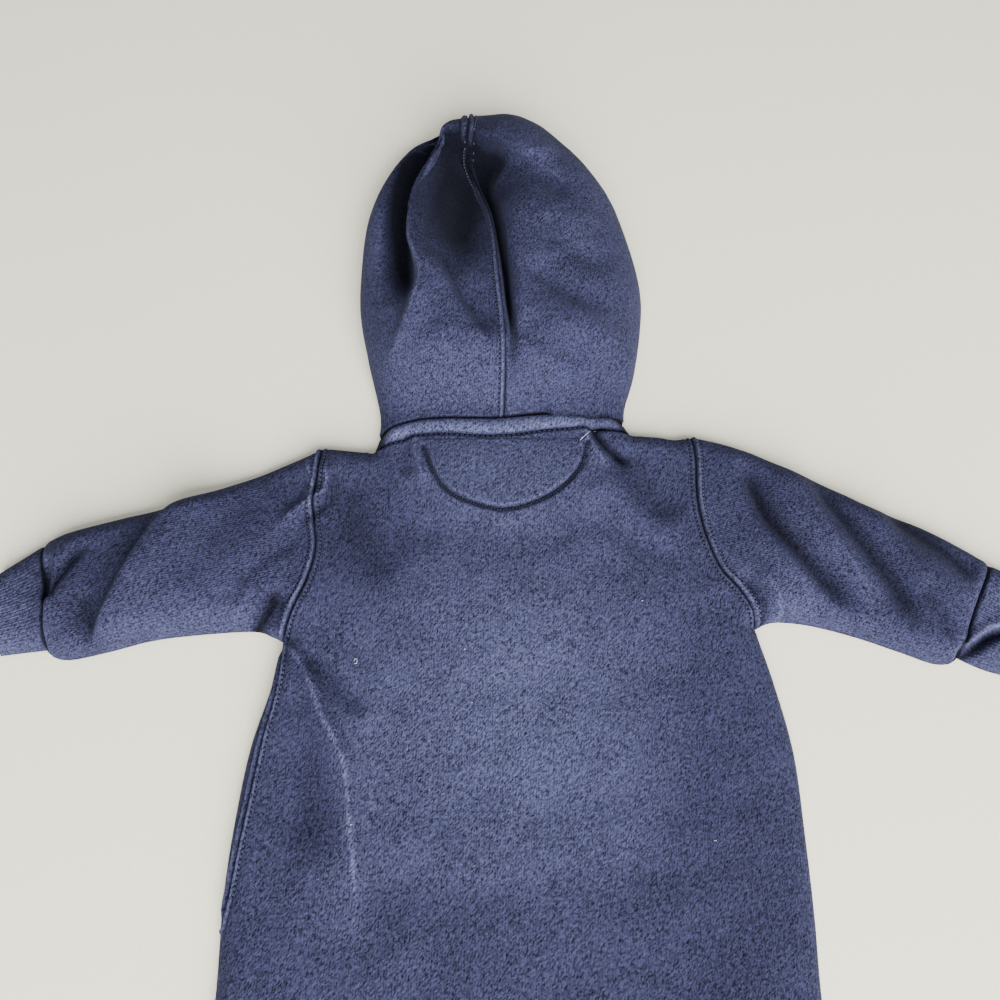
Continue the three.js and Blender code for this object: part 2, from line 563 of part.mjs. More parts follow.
const HOOD_COLUMNS = [0, 0.05, 0.12, 0.22, 0.34, 0.46, 0.57, 0.68, 0.78, 0.87, 0.94, 0.98, 1];
const HOOD_ROWS = [0, 0.07, 0.16, 0.26, 0.36, 0.46, 0.56, 0.66, 0.75, 0.83, 0.9, 0.95, 0.985, 1];
const HEM_COLUMNS = [0, 0.08, 0.2, 0.42, 1];

function hoodSide(side) {
  const dome = {
    start: along(HOOD_NECK[side]), end: backwards(along(HOOD_CROWN[side])),
    low: along(HOOD_SEAM), high: along(HOOD_SIDE[side]),
  };
  const crown = HOOD_COLUMNS.map((t) => dome.end(t)).reverse();
  const rim = [...HOOD_ROWS.map((s) => dome.high(s)), ...crown.slice(1)];
  const hemAt = along(HOOD_HEM[side]);
  const lengths = rim.map((p, i) => (i ? p.distanceTo(rim[i - 1]) : 0));
  const total = lengths.reduce((sum, length) => sum + length, 0);
  let passed = 0;
  const turnUnder = rim.map((edge, i) => {
    passed += lengths[i];
    const hem = hemAt(passed / total);
    const height = hoodEdgeAt(edge.y);
    const reach = hem.distanceTo(edge);
    const inward = hem.clone().sub(edge).normalize();
    return HEM_COLUMNS.map((w) => {
      const plan = mixPoints(edge, hem, w);
      const level = Math.min(1, w * reach / (height + HEM_EASE));
      const normal = new THREE.Vector3(-inward.x * (1 - level), -inward.y * (1 - level), -level);
      const place = new THREE.Vector3(plan.x, plan.y, height * (1 - quarterRound(level)));
      return { place, normal: normal.normalize() };
    });
  });
  const top = gridOf(dome, HOOD_ROWS, fixed(HOOD_COLUMNS), hoodTopPoint);
  const welded = weld([top, turnUnder]);
  drawBack(welded[0], ['low'], TUBE_GAP);
  drawBack(welded[0], ['start'], BENT_GAP);
  return wallFrom(welded, FLEECE);
}

// ---- neck band: a puffed strip over the neck seam, across the back and round along the fronts ----
const BAND_ROWS = [0.03, 0.3, 0.7, 0.94];
const BAND_TAPER = 1 / 8;      // share of its length in which the puff fades out at each end
// The band's columns are those of the panels that it joins.
const between = (columns, from, to) => columns
  .map((t) => (t - from) / (to - from)).filter((t) => t > -0.001 && t < 1.001);
const BACK_NECK_COLUMNS = between(doubled(BACK_HALF), NECK_SHARE / 2, 1 - NECK_SHARE / 2);
const FRONT_NECK_COLUMNS = between(FRONT_HALF, NECK_SHARE, 1);
function neckBand() {
  const upperEdge = joined(backwards(along(HOOD_NECK.left)), 0.5, along(HOOD_NECK.right));
  const back = {
    start: along(BACK_NECK), end: upperEdge,
    low: straight(along(BACK_NECK)(0), upperEdge(0)), high: straight(along(BACK_NECK)(1), upperEdge(1)),
  };
  const puffed = (p, s, t) => {
    const point = topPoint(p);
    const ends = smooth(t / BAND_TAPER) * smooth((1 - t) / BAND_TAPER);
    point.place.addScaledVector(point.normal, BAND_PUFF * Math.sin(Math.PI * s) * ends);
    return point;
  };
  const front = (side) => {
    const neck = along(FRONT_NECK[side]);
    const hem = along(HOOD_HEM[side])(0);
    const corner = along(HOOD_SIDE[side])(0);
    return {
      start: neck, end: straight(corner, hem), low: straight(neck(0), corner), high: straight(neck(1), hem),
    };
  };
  const grids = [gridOf(back, BAND_ROWS, fixed(BACK_NECK_COLUMNS), puffed)];
  ['left', 'right'].forEach((side) => {
    grids.push(gridOf(front(side), BAND_ROWS, fixed(FRONT_NECK_COLUMNS), (p) => underPoint(p)));
  });
  const welded = weld(grids);
  drawBack(welded[0], ['start'], BAND_GAP);
  drawBack(welded[1], ['high']);
  drawBack(welded[2], ['high']);
  return wallFrom(welded, FLEECE);
}

// ---- half-moon facing, against the inside of the back ----
const FACING_CLEARANCE = 0.9;
const FACING_END = 0.97;       // share of each side's line down to the facing's short lower edge
function halfMoonFacing() {
  const [left, right] = ['left', 'right'].map((side) => along(HALF_MOON[side]));
  const edges = {
    start: straight(left(0), right(0)),
    end: straight(left(FACING_END), right(FACING_END)),
    low: (s) => left(s * FACING_END),
    high: (s) => right(s * FACING_END),
  };
  const rows = [0, 0.2, 0.4, 0.6, 0.8, 1];
  const inside = (p) => {
    const point = topPoint(p);
    point.place.addScaledVector(point.normal, -FLEECE - FACING_CLEARANCE);
    return point;
  };
  return wallFrom(weld([gridOf(edges, rows, fixed(rows), inside)]), FACING);
}

// ---- snaps: caps set flush into the outer front along the centre-front line ----
const SNAP_SIDES = 16;
const SNAP_BEVEL = { across: 0.8, high: 0.5 };
const snapPlaces = Array.from({ length: SNAP_COUNT }, (_, i) => {
  const y = mix(SNAP_FIRST, SNAP_LAST, i / (SNAP_COUNT - 1));
  return new THREE.Vector3(centreX(y), y, 0);
});
function snapCap(place) {
  const rim = SNAP_RADIUS - SNAP_BEVEL.across;
  const profile = [
    [0, 0], [rim, 0], [SNAP_RADIUS, SNAP_BEVEL.high], [SNAP_RADIUS, SNAP_THICKNESS], [0, SNAP_THICKNESS],
  ];
  const cap = new THREE.LatheGeometry(profile.map(([r, h]) => new THREE.Vector2(r, h)), SNAP_SIDES);
  return cap.rotateX(Math.PI / 2).translate(place.x, place.y, place.z);
}
const asSolid = (geometry) => {
  const bare = geometry.clone();
  bare.deleteAttribute('normal');
  bare.deleteAttribute('uv');
  const merged = mergeVertices(bare, 1e-4);
  return new wasm.Manifold(new wasm.Mesh({
    numProp: 3,
    vertProperties: new Float32Array(merged.getAttribute('position').array),
    triVerts: new Uint32Array(merged.index.array),
  }));
};
function asGeometry(solid) {
  const { vertProperties, triVerts } = solid.getMesh();
  const geometry = new THREE.BufferGeometry();
  geometry.setAttribute('position', new THREE.BufferAttribute(vertProperties, 3));
  geometry.setIndex(new THREE.BufferAttribute(triVerts, 1));
  return geometry;
}
function withSnapRecesses(front) {
  const depth = SNAP_THICKNESS + GAP;
  return asGeometry(snapPlaces.reduce((solid, place) => {
    const recess = new THREE.CylinderGeometry(SNAP_RADIUS + GAP, SNAP_RADIUS + GAP, 2 * depth, SNAP_SIDES);
    recess.rotateX(Math.PI / 2).translate(place.x, place.y, 0);
    return solid.subtract(asSolid(recess));
  }, asSolid(front)));
}

// ---- the garment ----
const garment = new THREE.Group();
function piece(name, geometry, color, { roughness = 0.95, metalness = 0 } = {}) {
  const mesh = new THREE.Mesh(geometry, new THREE.MeshStandardMaterial({ color, roughness, metalness }));
  mesh.name = name;
  garment.add(mesh);
}
piece('back_panel', backPanel(), NAVY);
piece('front_left', withSnapRecesses(frontPanel('left', true)), NAVY);
piece('front_right', frontPanel('right', false), NAVY);
piece('neck_band', neckBand(), NAVY);
piece('half_moon_facing', halfMoonFacing(), NAVY);
['left', 'right'].forEach((side) => {
  piece(`hood_${side}`, hoodSide(side), NAVY);
  piece(`sleeve_${side}`, sleeve(side), NAVY);
  piece(`cuff_${side}`, cuff(side), NAVY_RIB);
  piece(`ankle_cuff_${side}`, ankleCuff(side), NAVY_RIB);
});
snapPlaces.forEach((place, i) => {
  piece(`snap_${i + 1}`, snapCap(place), NAVY_SNAP, { roughness: 0.5, metalness: 0.2 });
});

// The origin is at the middle of the underside of the whole garment.
const extent = new THREE.Box3().setFromObject(garment);
const middle = extent.getCenter(new THREE.Vector3());
garment.position.set(-middle.x, -middle.y, -extent.min.z);
const group = new THREE.Group();
group.add(garment);
group.updateMatrixWorld(true);

export default group;
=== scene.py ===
"""A baby's hooded sweatshirt romper of brushed navy fleece, laid out face down on a pale surface.

Every cut piece is a thin shell of cloth on its solid's form, with the creases, seams and topstitching
laid in. Shapes are worked out in millimetres in the garment's own plan: x runs to the right
sleeve, y to the hood and z up, and zero is in the middle of the back, just below the neck.
"""

import math

import bpy
import numpy as np
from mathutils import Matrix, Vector
from mathutils.bvhtree import BVHTree
from mathutils.kdtree import KDTree


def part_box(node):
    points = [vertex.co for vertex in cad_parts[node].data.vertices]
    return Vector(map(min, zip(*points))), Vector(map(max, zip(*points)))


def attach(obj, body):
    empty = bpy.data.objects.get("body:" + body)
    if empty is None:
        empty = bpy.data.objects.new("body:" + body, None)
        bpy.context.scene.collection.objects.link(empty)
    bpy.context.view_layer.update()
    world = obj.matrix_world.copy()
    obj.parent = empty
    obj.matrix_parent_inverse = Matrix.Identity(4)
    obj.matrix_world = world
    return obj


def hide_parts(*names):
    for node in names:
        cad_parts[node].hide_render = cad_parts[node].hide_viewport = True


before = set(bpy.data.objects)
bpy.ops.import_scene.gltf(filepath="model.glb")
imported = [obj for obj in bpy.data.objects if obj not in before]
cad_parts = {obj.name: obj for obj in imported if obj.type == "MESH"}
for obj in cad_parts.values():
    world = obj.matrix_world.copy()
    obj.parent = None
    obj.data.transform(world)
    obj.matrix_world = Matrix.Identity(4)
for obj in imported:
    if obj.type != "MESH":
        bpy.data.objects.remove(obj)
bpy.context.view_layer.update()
bpy.ops.object.select_all(action="DESELECT")

SIDES = ("left", "right")

# ---- cloth ----
FLEECE = 2.4                 # brushed sweatshirt fleece
RIB = 2.2                    # cuffs, rib folded double
FACING = 1.4                 # half-moon facing of flat jersey
PRESSED = 1.8                # fleece pressed flat where the fronts lap

# ---- heights of the laid garment ----
BODY_LOFT = 10.4
EDGE_MIDDLE = 3.0            # height of the rolled edge's outermost line
EDGE_ROLL = 12.0
UNDER_ROLL = 3.4
SLEEVE_FULL = 5.0            # how much rounder than the body the sleeves lie
SLEEVE_FULL_REACH = 36.0     # how far in from their edges they are that full
BACK_MIDDLE = 3.0            # x of the middle of the back
# Spans here are a place and the distance over which something comes on after it.
SLEEVES_START = (112, 40)    # from the middle of the back outwards
SLEEVES_SLIM = (232, 18)     # where they get slimmer towards their cuffs, by the next share
SLIMMER = 0.6
SLEEVES_ABOVE = (-120, 30)   # upwards
BODY_RIPPLES = [(60, 3, 0.6), (21, 4, 0.25)]     # wavelength, seed, height
HOOD_RIPPLES = [(45, 8, 0.7), (17, 9, 0.25)]
MOON_LIFT = 0.6              # the half-moon facing lifts the back this much, from this far inside its curve
MOON_LIFT_REACH = 4.0
PLACKET_LAP = 11.0           # each front runs this far past the centre-front line
LAP_STEP = 5.0               # width of the step that lifts the inner front over the outer one
LAP_CLEAR = 2.5              # the step ends this far outside the outer front's edge
LAP_GAP = 0.3
LAP_END = 0.85               # the inner front's lap ends at this share of the way from chest to crotch
LAP_FADE = (0.8, 0.12)       # and its lift fades out from this share on, over this share
SNAP_RADIUS = 5.5
SNAP_DEPTH = 1.4
SNAP_Y = np.linspace(-14, -288, 7)

# ---- outlines of the cut pieces, each through a few points ----
SHOULDER = {
    "left": [(-100, 30), (-86, 28.5), (-72, 27)],
    "right": [(108, 37), (99, 35.5), (90, 37), (76, 38)],
}
BACK_NECK = [(-72, 27), (-62, 30), (-47, 34.8), (-28, 35.3), (-6, 34.3), (10, 35), (26, 37.5), (38, 39),
             (50, 40), (60, 39), (76, 38)]
ARMHOLE = {
    "left": [(-100, 30), (-101, 12), (-102, -10), (-99, -32), (-102.5, -51), (-109, -67), (-113, -83)],
    "right": [(108, 37), (109, 20), (108, -4), (111, -25), (117, -43), (126, -56), (132, -67), (134, -76)],
}
SLEEVE_TOP = {
    "left": [(-100, 30), (-109, 25), (-134, 13), (-162, 2), (-185, -7), (-207, -13), (-228, -19),
             (-239, -23), (-246.5, -28.5)],
    "right": [(108, 37), (122, 34), (139, 28), (157, 19), (185, 4), (207, -8), (229, -18), (251, -31),
              (263, -40)],
}
SLEEVE_UNDER = {
    "left": [(-113, -83), (-119, -80), (-130, -77), (-160, -79), (-182, -82), (-204, -88), (-222, -92),
             (-231, -91), (-236, -87)],
    "right": [(134, -76), (140, -73), (148, -72), (164, -74), (186, -80), (208, -88), (224, -94),
              (233, -94), (237, -91)],
}
CUFF_SEAM = {
    "left": [(-246.5, -28.5), (-243.5, -41), (-239, -55), (-237, -72), (-236, -87)],
    "right": [(263, -40), (253, -57), (243, -76), (237, -91)],
}
CUFF_TOP = {
    "left": [(-246.5, -28.5), (-258, -37), (-270, -46)],
    "right": [(263, -40), (274, -46), (285, -54)],
}
CUFF_UNDER = {
    "left": [(-236, -87), (-248, -88.5), (-260, -90)],
    "right": [(237, -91), (249, -97), (262, -101)],
}
SIDE = {
    "left": [(-113, -83), (-118, -109), (-125, -137), (-129, -170), (-131, -205), (-130, -250),
             (-131, -300), (-130, -338)],
    "right": [(134, -76), (141, -105), (147, -140), (148, -180), (148, -216), (147, -250), (148, -300),
              (147, -338)],
}
LEG_MIDDLE = 8.5             # the legs mirror each other about this x
CROTCH = (LEG_MIDDLE, -338)


def both_legs(left):
    return {"left": left, "right": [(2 * LEG_MIDDLE - x, y) for x, y in left]}


LEG_OUTER = both_legs([(-130, -338), (-128, -380), (-122, -430), (-114, -462), (-107, -478)])
LEG_INNER = both_legs([CROTCH, (-2, -356), (-10, -390), (-18, -430), (-26, -462), (-34, -478)])
ANKLE_OUTER = both_legs([(-107, -478), (-104, -500), (-103, -521)])
ANKLE_INNER = both_legs([(-34, -478), (-38, -500), (-39, -521)])
FRONT_NECK = {
    "left": [(-72, 27), (-60, 21), (-40, 11), (-20, 5), (4, 2.5)],
    "right": [(76, 38), (66, 25), (48, 12), (28, 5), (4, 2.5)],
}
HALF_MOON = [(-43, 27), (-36, 10), (-27, -1), (-12, -8), (3, -10.5), (19, -6.5), (34, 2.5), (45, 16),
             (49, 30)]
HOOD_SEAM = [(2, 45), (3, 74), (2, 96), (-1, 127), (-4, 164), (-13, 204), (-20, 226), (-18, 246),
             (-19, 265.5)]
HOOD_SIDE = {
    "left": [(-69, 37), (-69, 52), (-77, 85), (-83, 116), (-84, 148), (-82, 182), (-73, 213), (-57, 240),
             (-40, 252)],
    "right": [(71, 46), (72, 56), (78, 76), (83, 107), (84, 132), (78, 166), (69, 197), (54, 225),
              (40, 242)],
}
HOOD_CROWN = {
    "left": [(-40, 252), (-30, 258), (-19, 265.5)],
    "right": [(40, 242), (28, 254), (6, 265), (-19, 265.5)],
}
HOOD_NECK = {
    "left": [(2, 45), (-28, 45), (-45, 44.5), (-60, 40.5), (-69, 37)],
    "right": [(2, 45), (14, 46.5), (34, 47.5), (46, 46.5), (60, 46), (71, 46)],
}
HOOD_HEM = {
    "left": [(1, 13), (-28, 46), (-48, 88), (-58, 130), (-58, 170), (-48, 206), (-32, 228), (-19, 236)],
    "right": [(7, 13), (32, 46), (50, 84), (60, 124), (59, 160), (48, 196), (22, 228), (-19, 236)],
}
NECK_SHARE = 0.24            # share of each half's top edge that is shoulder
CHEST_SHARE = 0.241          # share of the centre-front line that is above the armpits
CHEST_MIDDLE = (4, 2.5)      # top of the centre-front line
SIDE_SEAM_INSET = 6.2        # the left side seam lies this far in on top, at most
SIDE_SEAM_REACH = 0.54       # and it is back at the side this share of the way from armpit to hip

# ---- loft of the body over its plain height: name, x, y, reach, height ----
BODY_SWELLS = [
    ("left sleeve", -165, -38, 48, 4.0),
    ("left elbow", -215, -55, 26, 3.0),
    ("left sleeve end", -232, -66, 13, 2.4),
    ("left sleeve end top", -236, -40, 10, 2.2),
    ("right sleeve", 175, -30, 50, 4.0),
    ("right elbow", 228, -58, 26, 3.0),
    ("neck", 3, 30, 75, 3.4),
    ("seat", 8, -290, 95, 3.0),
    ("middle of the back", 6, -120, 80, 2.4),
]
# ---- creases of the body and sleeves: name, height, reach on the line's left hand, on its right hand,
# how worn its crest is (or below zero, how much painted shade darkens its cloth where little light gets in),
# and the line. Heights below zero are troughs ----
BODY_FOLDS = [
    ("left back fold", 4.6, 5, 24, 0.8,
     [(-124, -72), (-115, -83), (-108.5, -88), (-103, -94), (-96.5, -104.5), (-90.5, -120), (-82, -134),
      (-77, -144), (-74.5, -155), (-72.5, -168), (-70.5, -181), (-68.5, -196), (-67, -212), (-66, -232)]),
    ("left of the fold", -1.6, 14, 14, -0.22,
     [(-106, -96), (-99, -118), (-93, -140), (-88, -165), (-86, -200)]),
    ("left back dent", -3.0, 6, 7, -0.3, [(-106, -90), (-93, -97), (-84, -104), (-75, -114), (-66, -124)]),
    ("left back second dent", -1.2, 9, 9, 0, [(-84, -84), (-66, -96), (-52, -114), (-40, -120)]),
    ("left flank hollow", -1.8, 10, 10, 0, [(-106, -104), (-100, -126), (-98, -152), (-98, -190)]),
    ("left sleeve fold", 6.0, 26, 3.0, 0.3,
     [(-162, 14), (-170, 2), (-179, -14), (-192, -41), (-201, -65), (-210, -88), (-216, -100)]),
    ("left of the sleeve fold", -1.6, 8, 12, -0.3,
     [(-176, 12), (-188, -14), (-202, -42), (-212, -66), (-222, -92)]),
    ("left sleeve hollow", -2.6, 9, 9, 0, [(-216, -24), (-216, -44), (-214, -62), (-212, -84)]),
    ("left sleeve bend", -2.6, 15, 12, -0.15, [(-118, 18), (-140, -12), (-158, -34), (-170, -66)]),
    ("left cuff crease", -6.0, 3.2, 3.4, -0.6,
     [(-240, -38), (-238, -50), (-236, -59), (-233, -53), (-229, -45), (-224, -36), (-219, -30)]),
    ("left cuff dent", -3.0, 5, 6, -0.3, [(-217, -56), (-215, -66), (-211, -80), (-210, -92)]),
    ("left shoulder pleat", 4.2, 5.5, 4.0, 0.5,
     [(-93, 22), (-96.5, 13), (-95, 6), (-96.5, 0), (-103, -5), (-113, -14), (-121, -24)]),
    ("left shoulder tuck", -3.0, 3, 3.5, -0.4, [(-92, 14), (-91, 6), (-94, -4), (-100, -10), (-110, -20)]),
    ("left shoulder second pleat", 1.2, 2, 2, 0.5, [(-109, 26), (-106, 14), (-104, 4), (-108, -6)]),
    ("left shoulder hollow", -2.4, 14, 12, -0.3, [(-86, 12), (-80, -14), (-70, -34), (-54, -52)]),
    ("left armpit crease", -5.4, 3.5, 6, -1.0,
     [(-132, -88), (-128, -78), (-124, -71), (-120, -62), (-118, -52)]),
    ("left armpit roll", 2.0, 5, 5, 0.2, [(-139, -88), (-137, -74), (-132, -62), (-128, -50)]),
    ("left underarm crease", -2.2, 3, 3, 0, [(-118, -84), (-117, -74), (-113, -64), (-110, -56)]),
    ("left sleeve drag", -1.4, 4, 6, 0, [(-108, -28), (-118, -34), (-130, -44), (-138, -56)]),
    ("right sleeve trough", -7.0, 7, 6, -0.9,
     [(132, 22), (139, 4), (145.5, -15), (159, -35), (173, -54), (182, -66), (188, -74)]),
    ("right sleeve ridge", 2.2, 9, 10, 0.15, [(150, 24), (164, -4), (176, -28), (186, -48), (194, -68)]),
    ("right elbow trough", -5.6, 8, 7, -0.75,
     [(168, 12), (180, -8), (191, -27), (203, -49), (210.5, -66), (216, -84)]),
    ("right elbow ridge", 1.8, 8, 8, 0.12, [(196, -2), (206, -22), (216, -42), (224, -60)]),
    ("right cuff trough", -4.2, 7, 7, -0.7, [(206, -12), (220, -22), (234, -33), (244, -43), (252, -54)]),
    ("right cuff dent", -2.6, 5, 6, -0.3, [(218, -54), (225, -63), (231, -76), (234, -88)]),
    ("right armpit crease", -5.0, 3, 3.5, -0.6, [(132, -82), (137, -71), (135, -62), (131, -54), (127, -46)]),
    ("right armpit roll", 1.8, 4, 5, 0.3, [(146, -82), (146, -66), (142, -54), (136, -44)]),
    ("right cuff gap", -6.5, 2.4, 3.0, -0.9,
     [(232, -99), (238, -92), (246, -86), (254, -81), (264, -79), (276, -80)]),
    ("right cuff fold edge", 1.6, 3.0, 1.6, 0.5,
     [(232, -94), (238, -88), (246, -82), (254, -77), (266, -75)]),
    ("left neck trough", -2.0, 3.5, 3, 0, [(-54, 40), (-54, 30), (-53, 20), (-49, 8)]),
    ("left neck ridge", 1.2, 3, 4, 0.4, [(-47, 40), (-48, 28), (-45, 16), (-40, 2)]),
    ("right neck pit", -4.4, 4, 2.5, -1.0, [(48, 48), (53, 37), (59, 29), (66, 22), (74, 16)]),
    ("right neck ridge", 2.0, 3, 4, 0.6, [(48, 46), (49, 34), (54, 24), (61, 14)]),
    ("right shoulder hollow", -2.8, 12, 10, -0.35, [(66, 30), (72, 12), (84, -4), (98, -18)]),
    ("right shoulder drag", -1.8, 9, 9, 0, [(52, 4), (64, -18), (84, -34), (104, -44)]),
    ("right blade ridge", 1.4, 12, 12, 0, [(56, 16), (66, -4), (84, -20), (102, -30)]),
    ("back drift left", 1.4, 16, 18, 0, [(-46, -60), (-52, -120), (-44, -190), (-50, -270)]),
    ("back drift right", -1.6, 18, 16, 0, [(60, -60), (84, -120), (92, -190), (96, -270)]),
    ("upper back hollow", -1.5, 14, 12, 0, [(-70, -12), (-30, -24), (20, -26), (66, -16)]),
    ("waist drift", -1.8, 13, 15, 0, [(-80, -196), (-20, -206), (40, -202), (110, -190)]),
    ("left leg crease", -1.6, 7, 6, 0, [(-2, -344), (-28, -352), (-60, -350), (-88, -358)]),
    ("right leg crease", -1.4, 6, 8, 0, [(20, -344), (48, -354), (80, -348), (112, -360)]),
    ("left shin ridge", 1.4, 9, 7, 0.2, [(-60, -370), (-66, -410), (-62, -446), (-70, -474)]),
    ("right shin ridge", 1.2, 7, 10, 0.2, [(86, -372), (80, -406), (92, -440), (88, -474)]),
]
# ---- where the cloth is paler, faded by washing most in the middle of the back, or below zero, painted shade
# where it lies in the shade of its own folds: name, x, y, reach across, reach along, amount ----
TONES = [
    ("middle of the back", 4, -112, 74, 80, 0.5),
    ("right of the crease", -66, -150, 20, 70, 0.15),
    ("below the neck", 4, 8, 60, 30, 0.25),
    ("left sleeve", -170, -66, 60, 18, 0.1),
    ("right sleeve", 160, -50, 50, 22, 0.2),
    ("left cuff", -258, -70, 16, 22, 0.3),
    ("right cuff", 262, -70, 16, 22, 0.3),
    ("left half of the hood above the neck", -30, 64, 40, 20, 0.12),
    ("left half of the hood", -26, 184, 23, 48, -1.05),
    ("left side of the hood", -74, 160, 9, 40, 0.25),
    ("right half of the hood", 30, 170, 30, 60, 0.15),
    ("top of the left half", -26, 230, 12, 13, -0.6),
    ("pocket", -60, 194, 7, 32, -1.7),
    ("top of the pocket", -50, 226, 8, 14, -1.2),
    ("hollow under the crown", -10, 219, 11, 8, -1.7),
    ("right side of the back", 118, -230, 34, 110, -0.22),
    ("right sleeve's end", 222, -52, 14, 30, -0.25),
    ("left sleeve's end", -224, -50, 12, 30, -0.15),
    ("left shoulder blade", -76, -20, 34, 40, -0.2),
    ("right end of the neck", 62, 42, 14, 7, -0.5),
]
# ---- hood: loft, swells and creases ----
HOOD_LOFT = {"left": 36.0, "right": 42.0}
HOOD_LOFT_CHANGE = (-15, 40) # from left to right, where the one becomes the other
HOOD_ROLL = 52.0             # how far in from its outline the hood is still rising
HOOD_EDGE = 11.0             # height of its outermost line
HOOD_EDGE_UP = (42, 60)      # upwards from the neck, where that line rises to this height
HOOD_START = (44, 46)        # and where the hood's own form takes over from the body's
HOOD_TOP_WELT = (222, 8)     # above here both sides of the seam have the left side's welt
HOOD_LOW = 8.0               # the deepest hollows of the hood stay above this, and ease in to it
LOW_EASE = 2.5
HOOD_SWELLS = [
    ("left lower cheek", -34, 84, 28, 3.0),
    ("right lower cheek", 40, 92, 30, 2.0),
    ("left panel slope", -27, 206, 38, -13.0),
    ("right panel slope", 10, 204, 30, -5.0),
    ("crown", -9, 252, 22, 6.5),
    ("left crown", -37, 252, 12, -3.0),
    ("outer left bulge", -68, 190, 24, 4.0),
]
# the same columns as the body's creases; a worn value below zero is painted shade in the hood's deep hollows
HOOD_FOLDS = [
    ("left overlap", 13, 17, 4.0, 0.7,
     [(-22, 272), (-27, 252), (-30, 236), (-36, 218), (-41, 202), (-44.5, 182), (-45.5, 160), (-45, 138),
      (-46, 118), (-50, 102), (-57, 86), (-62, 72)]),
    ("left pocket", -27, 6, 10, -1.2,
     [(-22, 288), (-33, 260), (-41, 240), (-51, 216), (-57, 192), (-58, 170), (-57, 148), (-55, 126),
      (-58, 104)]),
    ("outer left edge", 2.4, 3.5, 4, 0.4, [(-70, 216), (-60, 232), (-50, 239), (-36, 242)]),
    ("left panel hollow", -9, 15, 15, -0.3,
     [(-2, 280), (-15, 240), (-24, 208), (-27, 180), (-25, 150), (-22, 118)]),
    ("seam valley", -17, 4.5, 1.8, -1.0,
     [(-17, 238), (-14, 224), (-9, 205), (-3.5, 182), (-0.5, 160), (3, 130), (5, 104), (5.5, 84)]),
    ("lower seam valley", -5, 4, 1.6, -0.5, [(3, 150), (5, 120), (6, 96), (6, 60)]),
    ("right of the valley", 3.5, 9, 2.5, 0.3, [(0, 200), (3, 182), (6, 160), (9, 130), (11, 100), (12, 78)]),
    ("crown hollow", -10, 4, 13, -1.0, [(-32, 243), (-22, 235), (-13, 228), (-5, 222), (4, 217)]),
    ("crown shadow", -3.0, 7, 12, -0.2, [(-24, 234), (-10, 224), (4, 215), (18, 207), (36, 195), (52, 178)]),
    ("crown bulge", 6, 15, 4, 0.1, [(-28, 252), (-18, 245), (-8, 239), (3, 231), (16, 222), (32, 209)]),
    ("left soft wrinkle", -5.5, 8, 3.2, -0.2, [(-38, 148), (-26, 122), (-17, 106), (-7, 89), (-1, 80)]),
    ("left panel tuck", -2.5, 6, 6, 0, [(-44, 128), (-38, 112), (-40, 94), (-50, 80)]),
    ("right soft trough", -4.5, 9, 5, -0.15, [(8, 94), (20, 83), (36, 76), (54, 72)]),
    ("right cheek drag", -2.8, 9, 7, 0, [(14, 134), (30, 118), (46, 108), (64, 102)]),
    ("right cheek trough", -2.2, 8, 10, 0, [(24, 170), (36, 150), (50, 136), (66, 128)]),
    ("right crown line", 1.4, 6, 4, 0.2, [(14, 214), (28, 206), (38, 196), (48, 182)]),
    ("left cheek roll", 2.0, 12, 10, 0, [(-72, 80), (-60, 72), (-46, 70), (-30, 74)]),
    ("right end of the neck", -4.0, 5, 4, -0.7, [(18, 47), (34, 47), (50, 46.5), (64, 44), (78, 38)]),
]
# ---- seam sections: (distance from the seam, height) ----
ARMHOLE_ON_SLEEVE = [(0, -2.0), (0.4, -0.9), (0.9, 0.8), (1.6, 1.5), (2.3, 1.3), (2.8, 0.5), (3.2, -0.7),
                     (3.7, -0.3), (4.6, 0.2), (7, 0)]
ARMHOLE_ON_BODY = [(0, -2.0), (0.4, -1.0), (0.9, -0.1), (1.5, 0.25), (2.2, 0.2), (2.7, -0.7), (3.1, -0.5),
                   (3.7, 0.05), (4.6, 0.1), (6, 0)]
BAND_ON_BODY = [(0, -2.0), (0.6, -1.4), (1.2, -0.5), (2.0, 0.1), (3, 0.25), (5, 0)]
HOOD_ON_LEFT = [(0, -1.4), (0.5, 0.0), (1.2, 1.2), (2.0, 1.1), (2.6, 0.2), (3.0, -0.5), (3.6, -0.1), (5, 0)]
HOOD_ON_RIGHT = [(0, -1.4), (0.8, -0.4), (1.8, 0.2), (3, 0)]
SIDE_SEAM = [(0, -1.3), (0.5, -0.2), (1.4, 0.9), (2.1, 0.7), (2.8, -0.6), (3.3, -0.1), (5, 0)]
HALF_MOON_GROOVE = [(0, -1.3), (0.7, -1.1), (1.3, -0.4), (1.9, 0.1), (3, 0.15), (5, 0)]
HOOD_ON_NECK = [(0, -1.6), (0.8, -0.6), (1.8, 0.2), (4, 0)]
CUFF_ON_SLEEVE = [(0, -2.6), (0.4, -1.5), (1.0, -0.5), (1.8, 0.1), (3.0, 0.4), (5, 0.2), (8, 0)]
FOLD_ENDS = (0.2, 0.25)      # shares of a fold's line over which it comes up and dies away


# ---- plan lines ----
def mix(a, b, t):
    return a + (b - a) * t


def smooth(t):
    t = np.clip(t, 0, 1)
    return t * t * (3 - 2 * t)


def coming(value, span):
    """Comes up softly from 0 to 1: a span is the value where it starts, and how far on it is complete."""
    start, over = span
    return smooth((value - start) / over)


def quarter_round(t):
    return np.sqrt(np.clip(1 - (1 - np.clip(t, 0, 1)) ** 2, 0, 1))


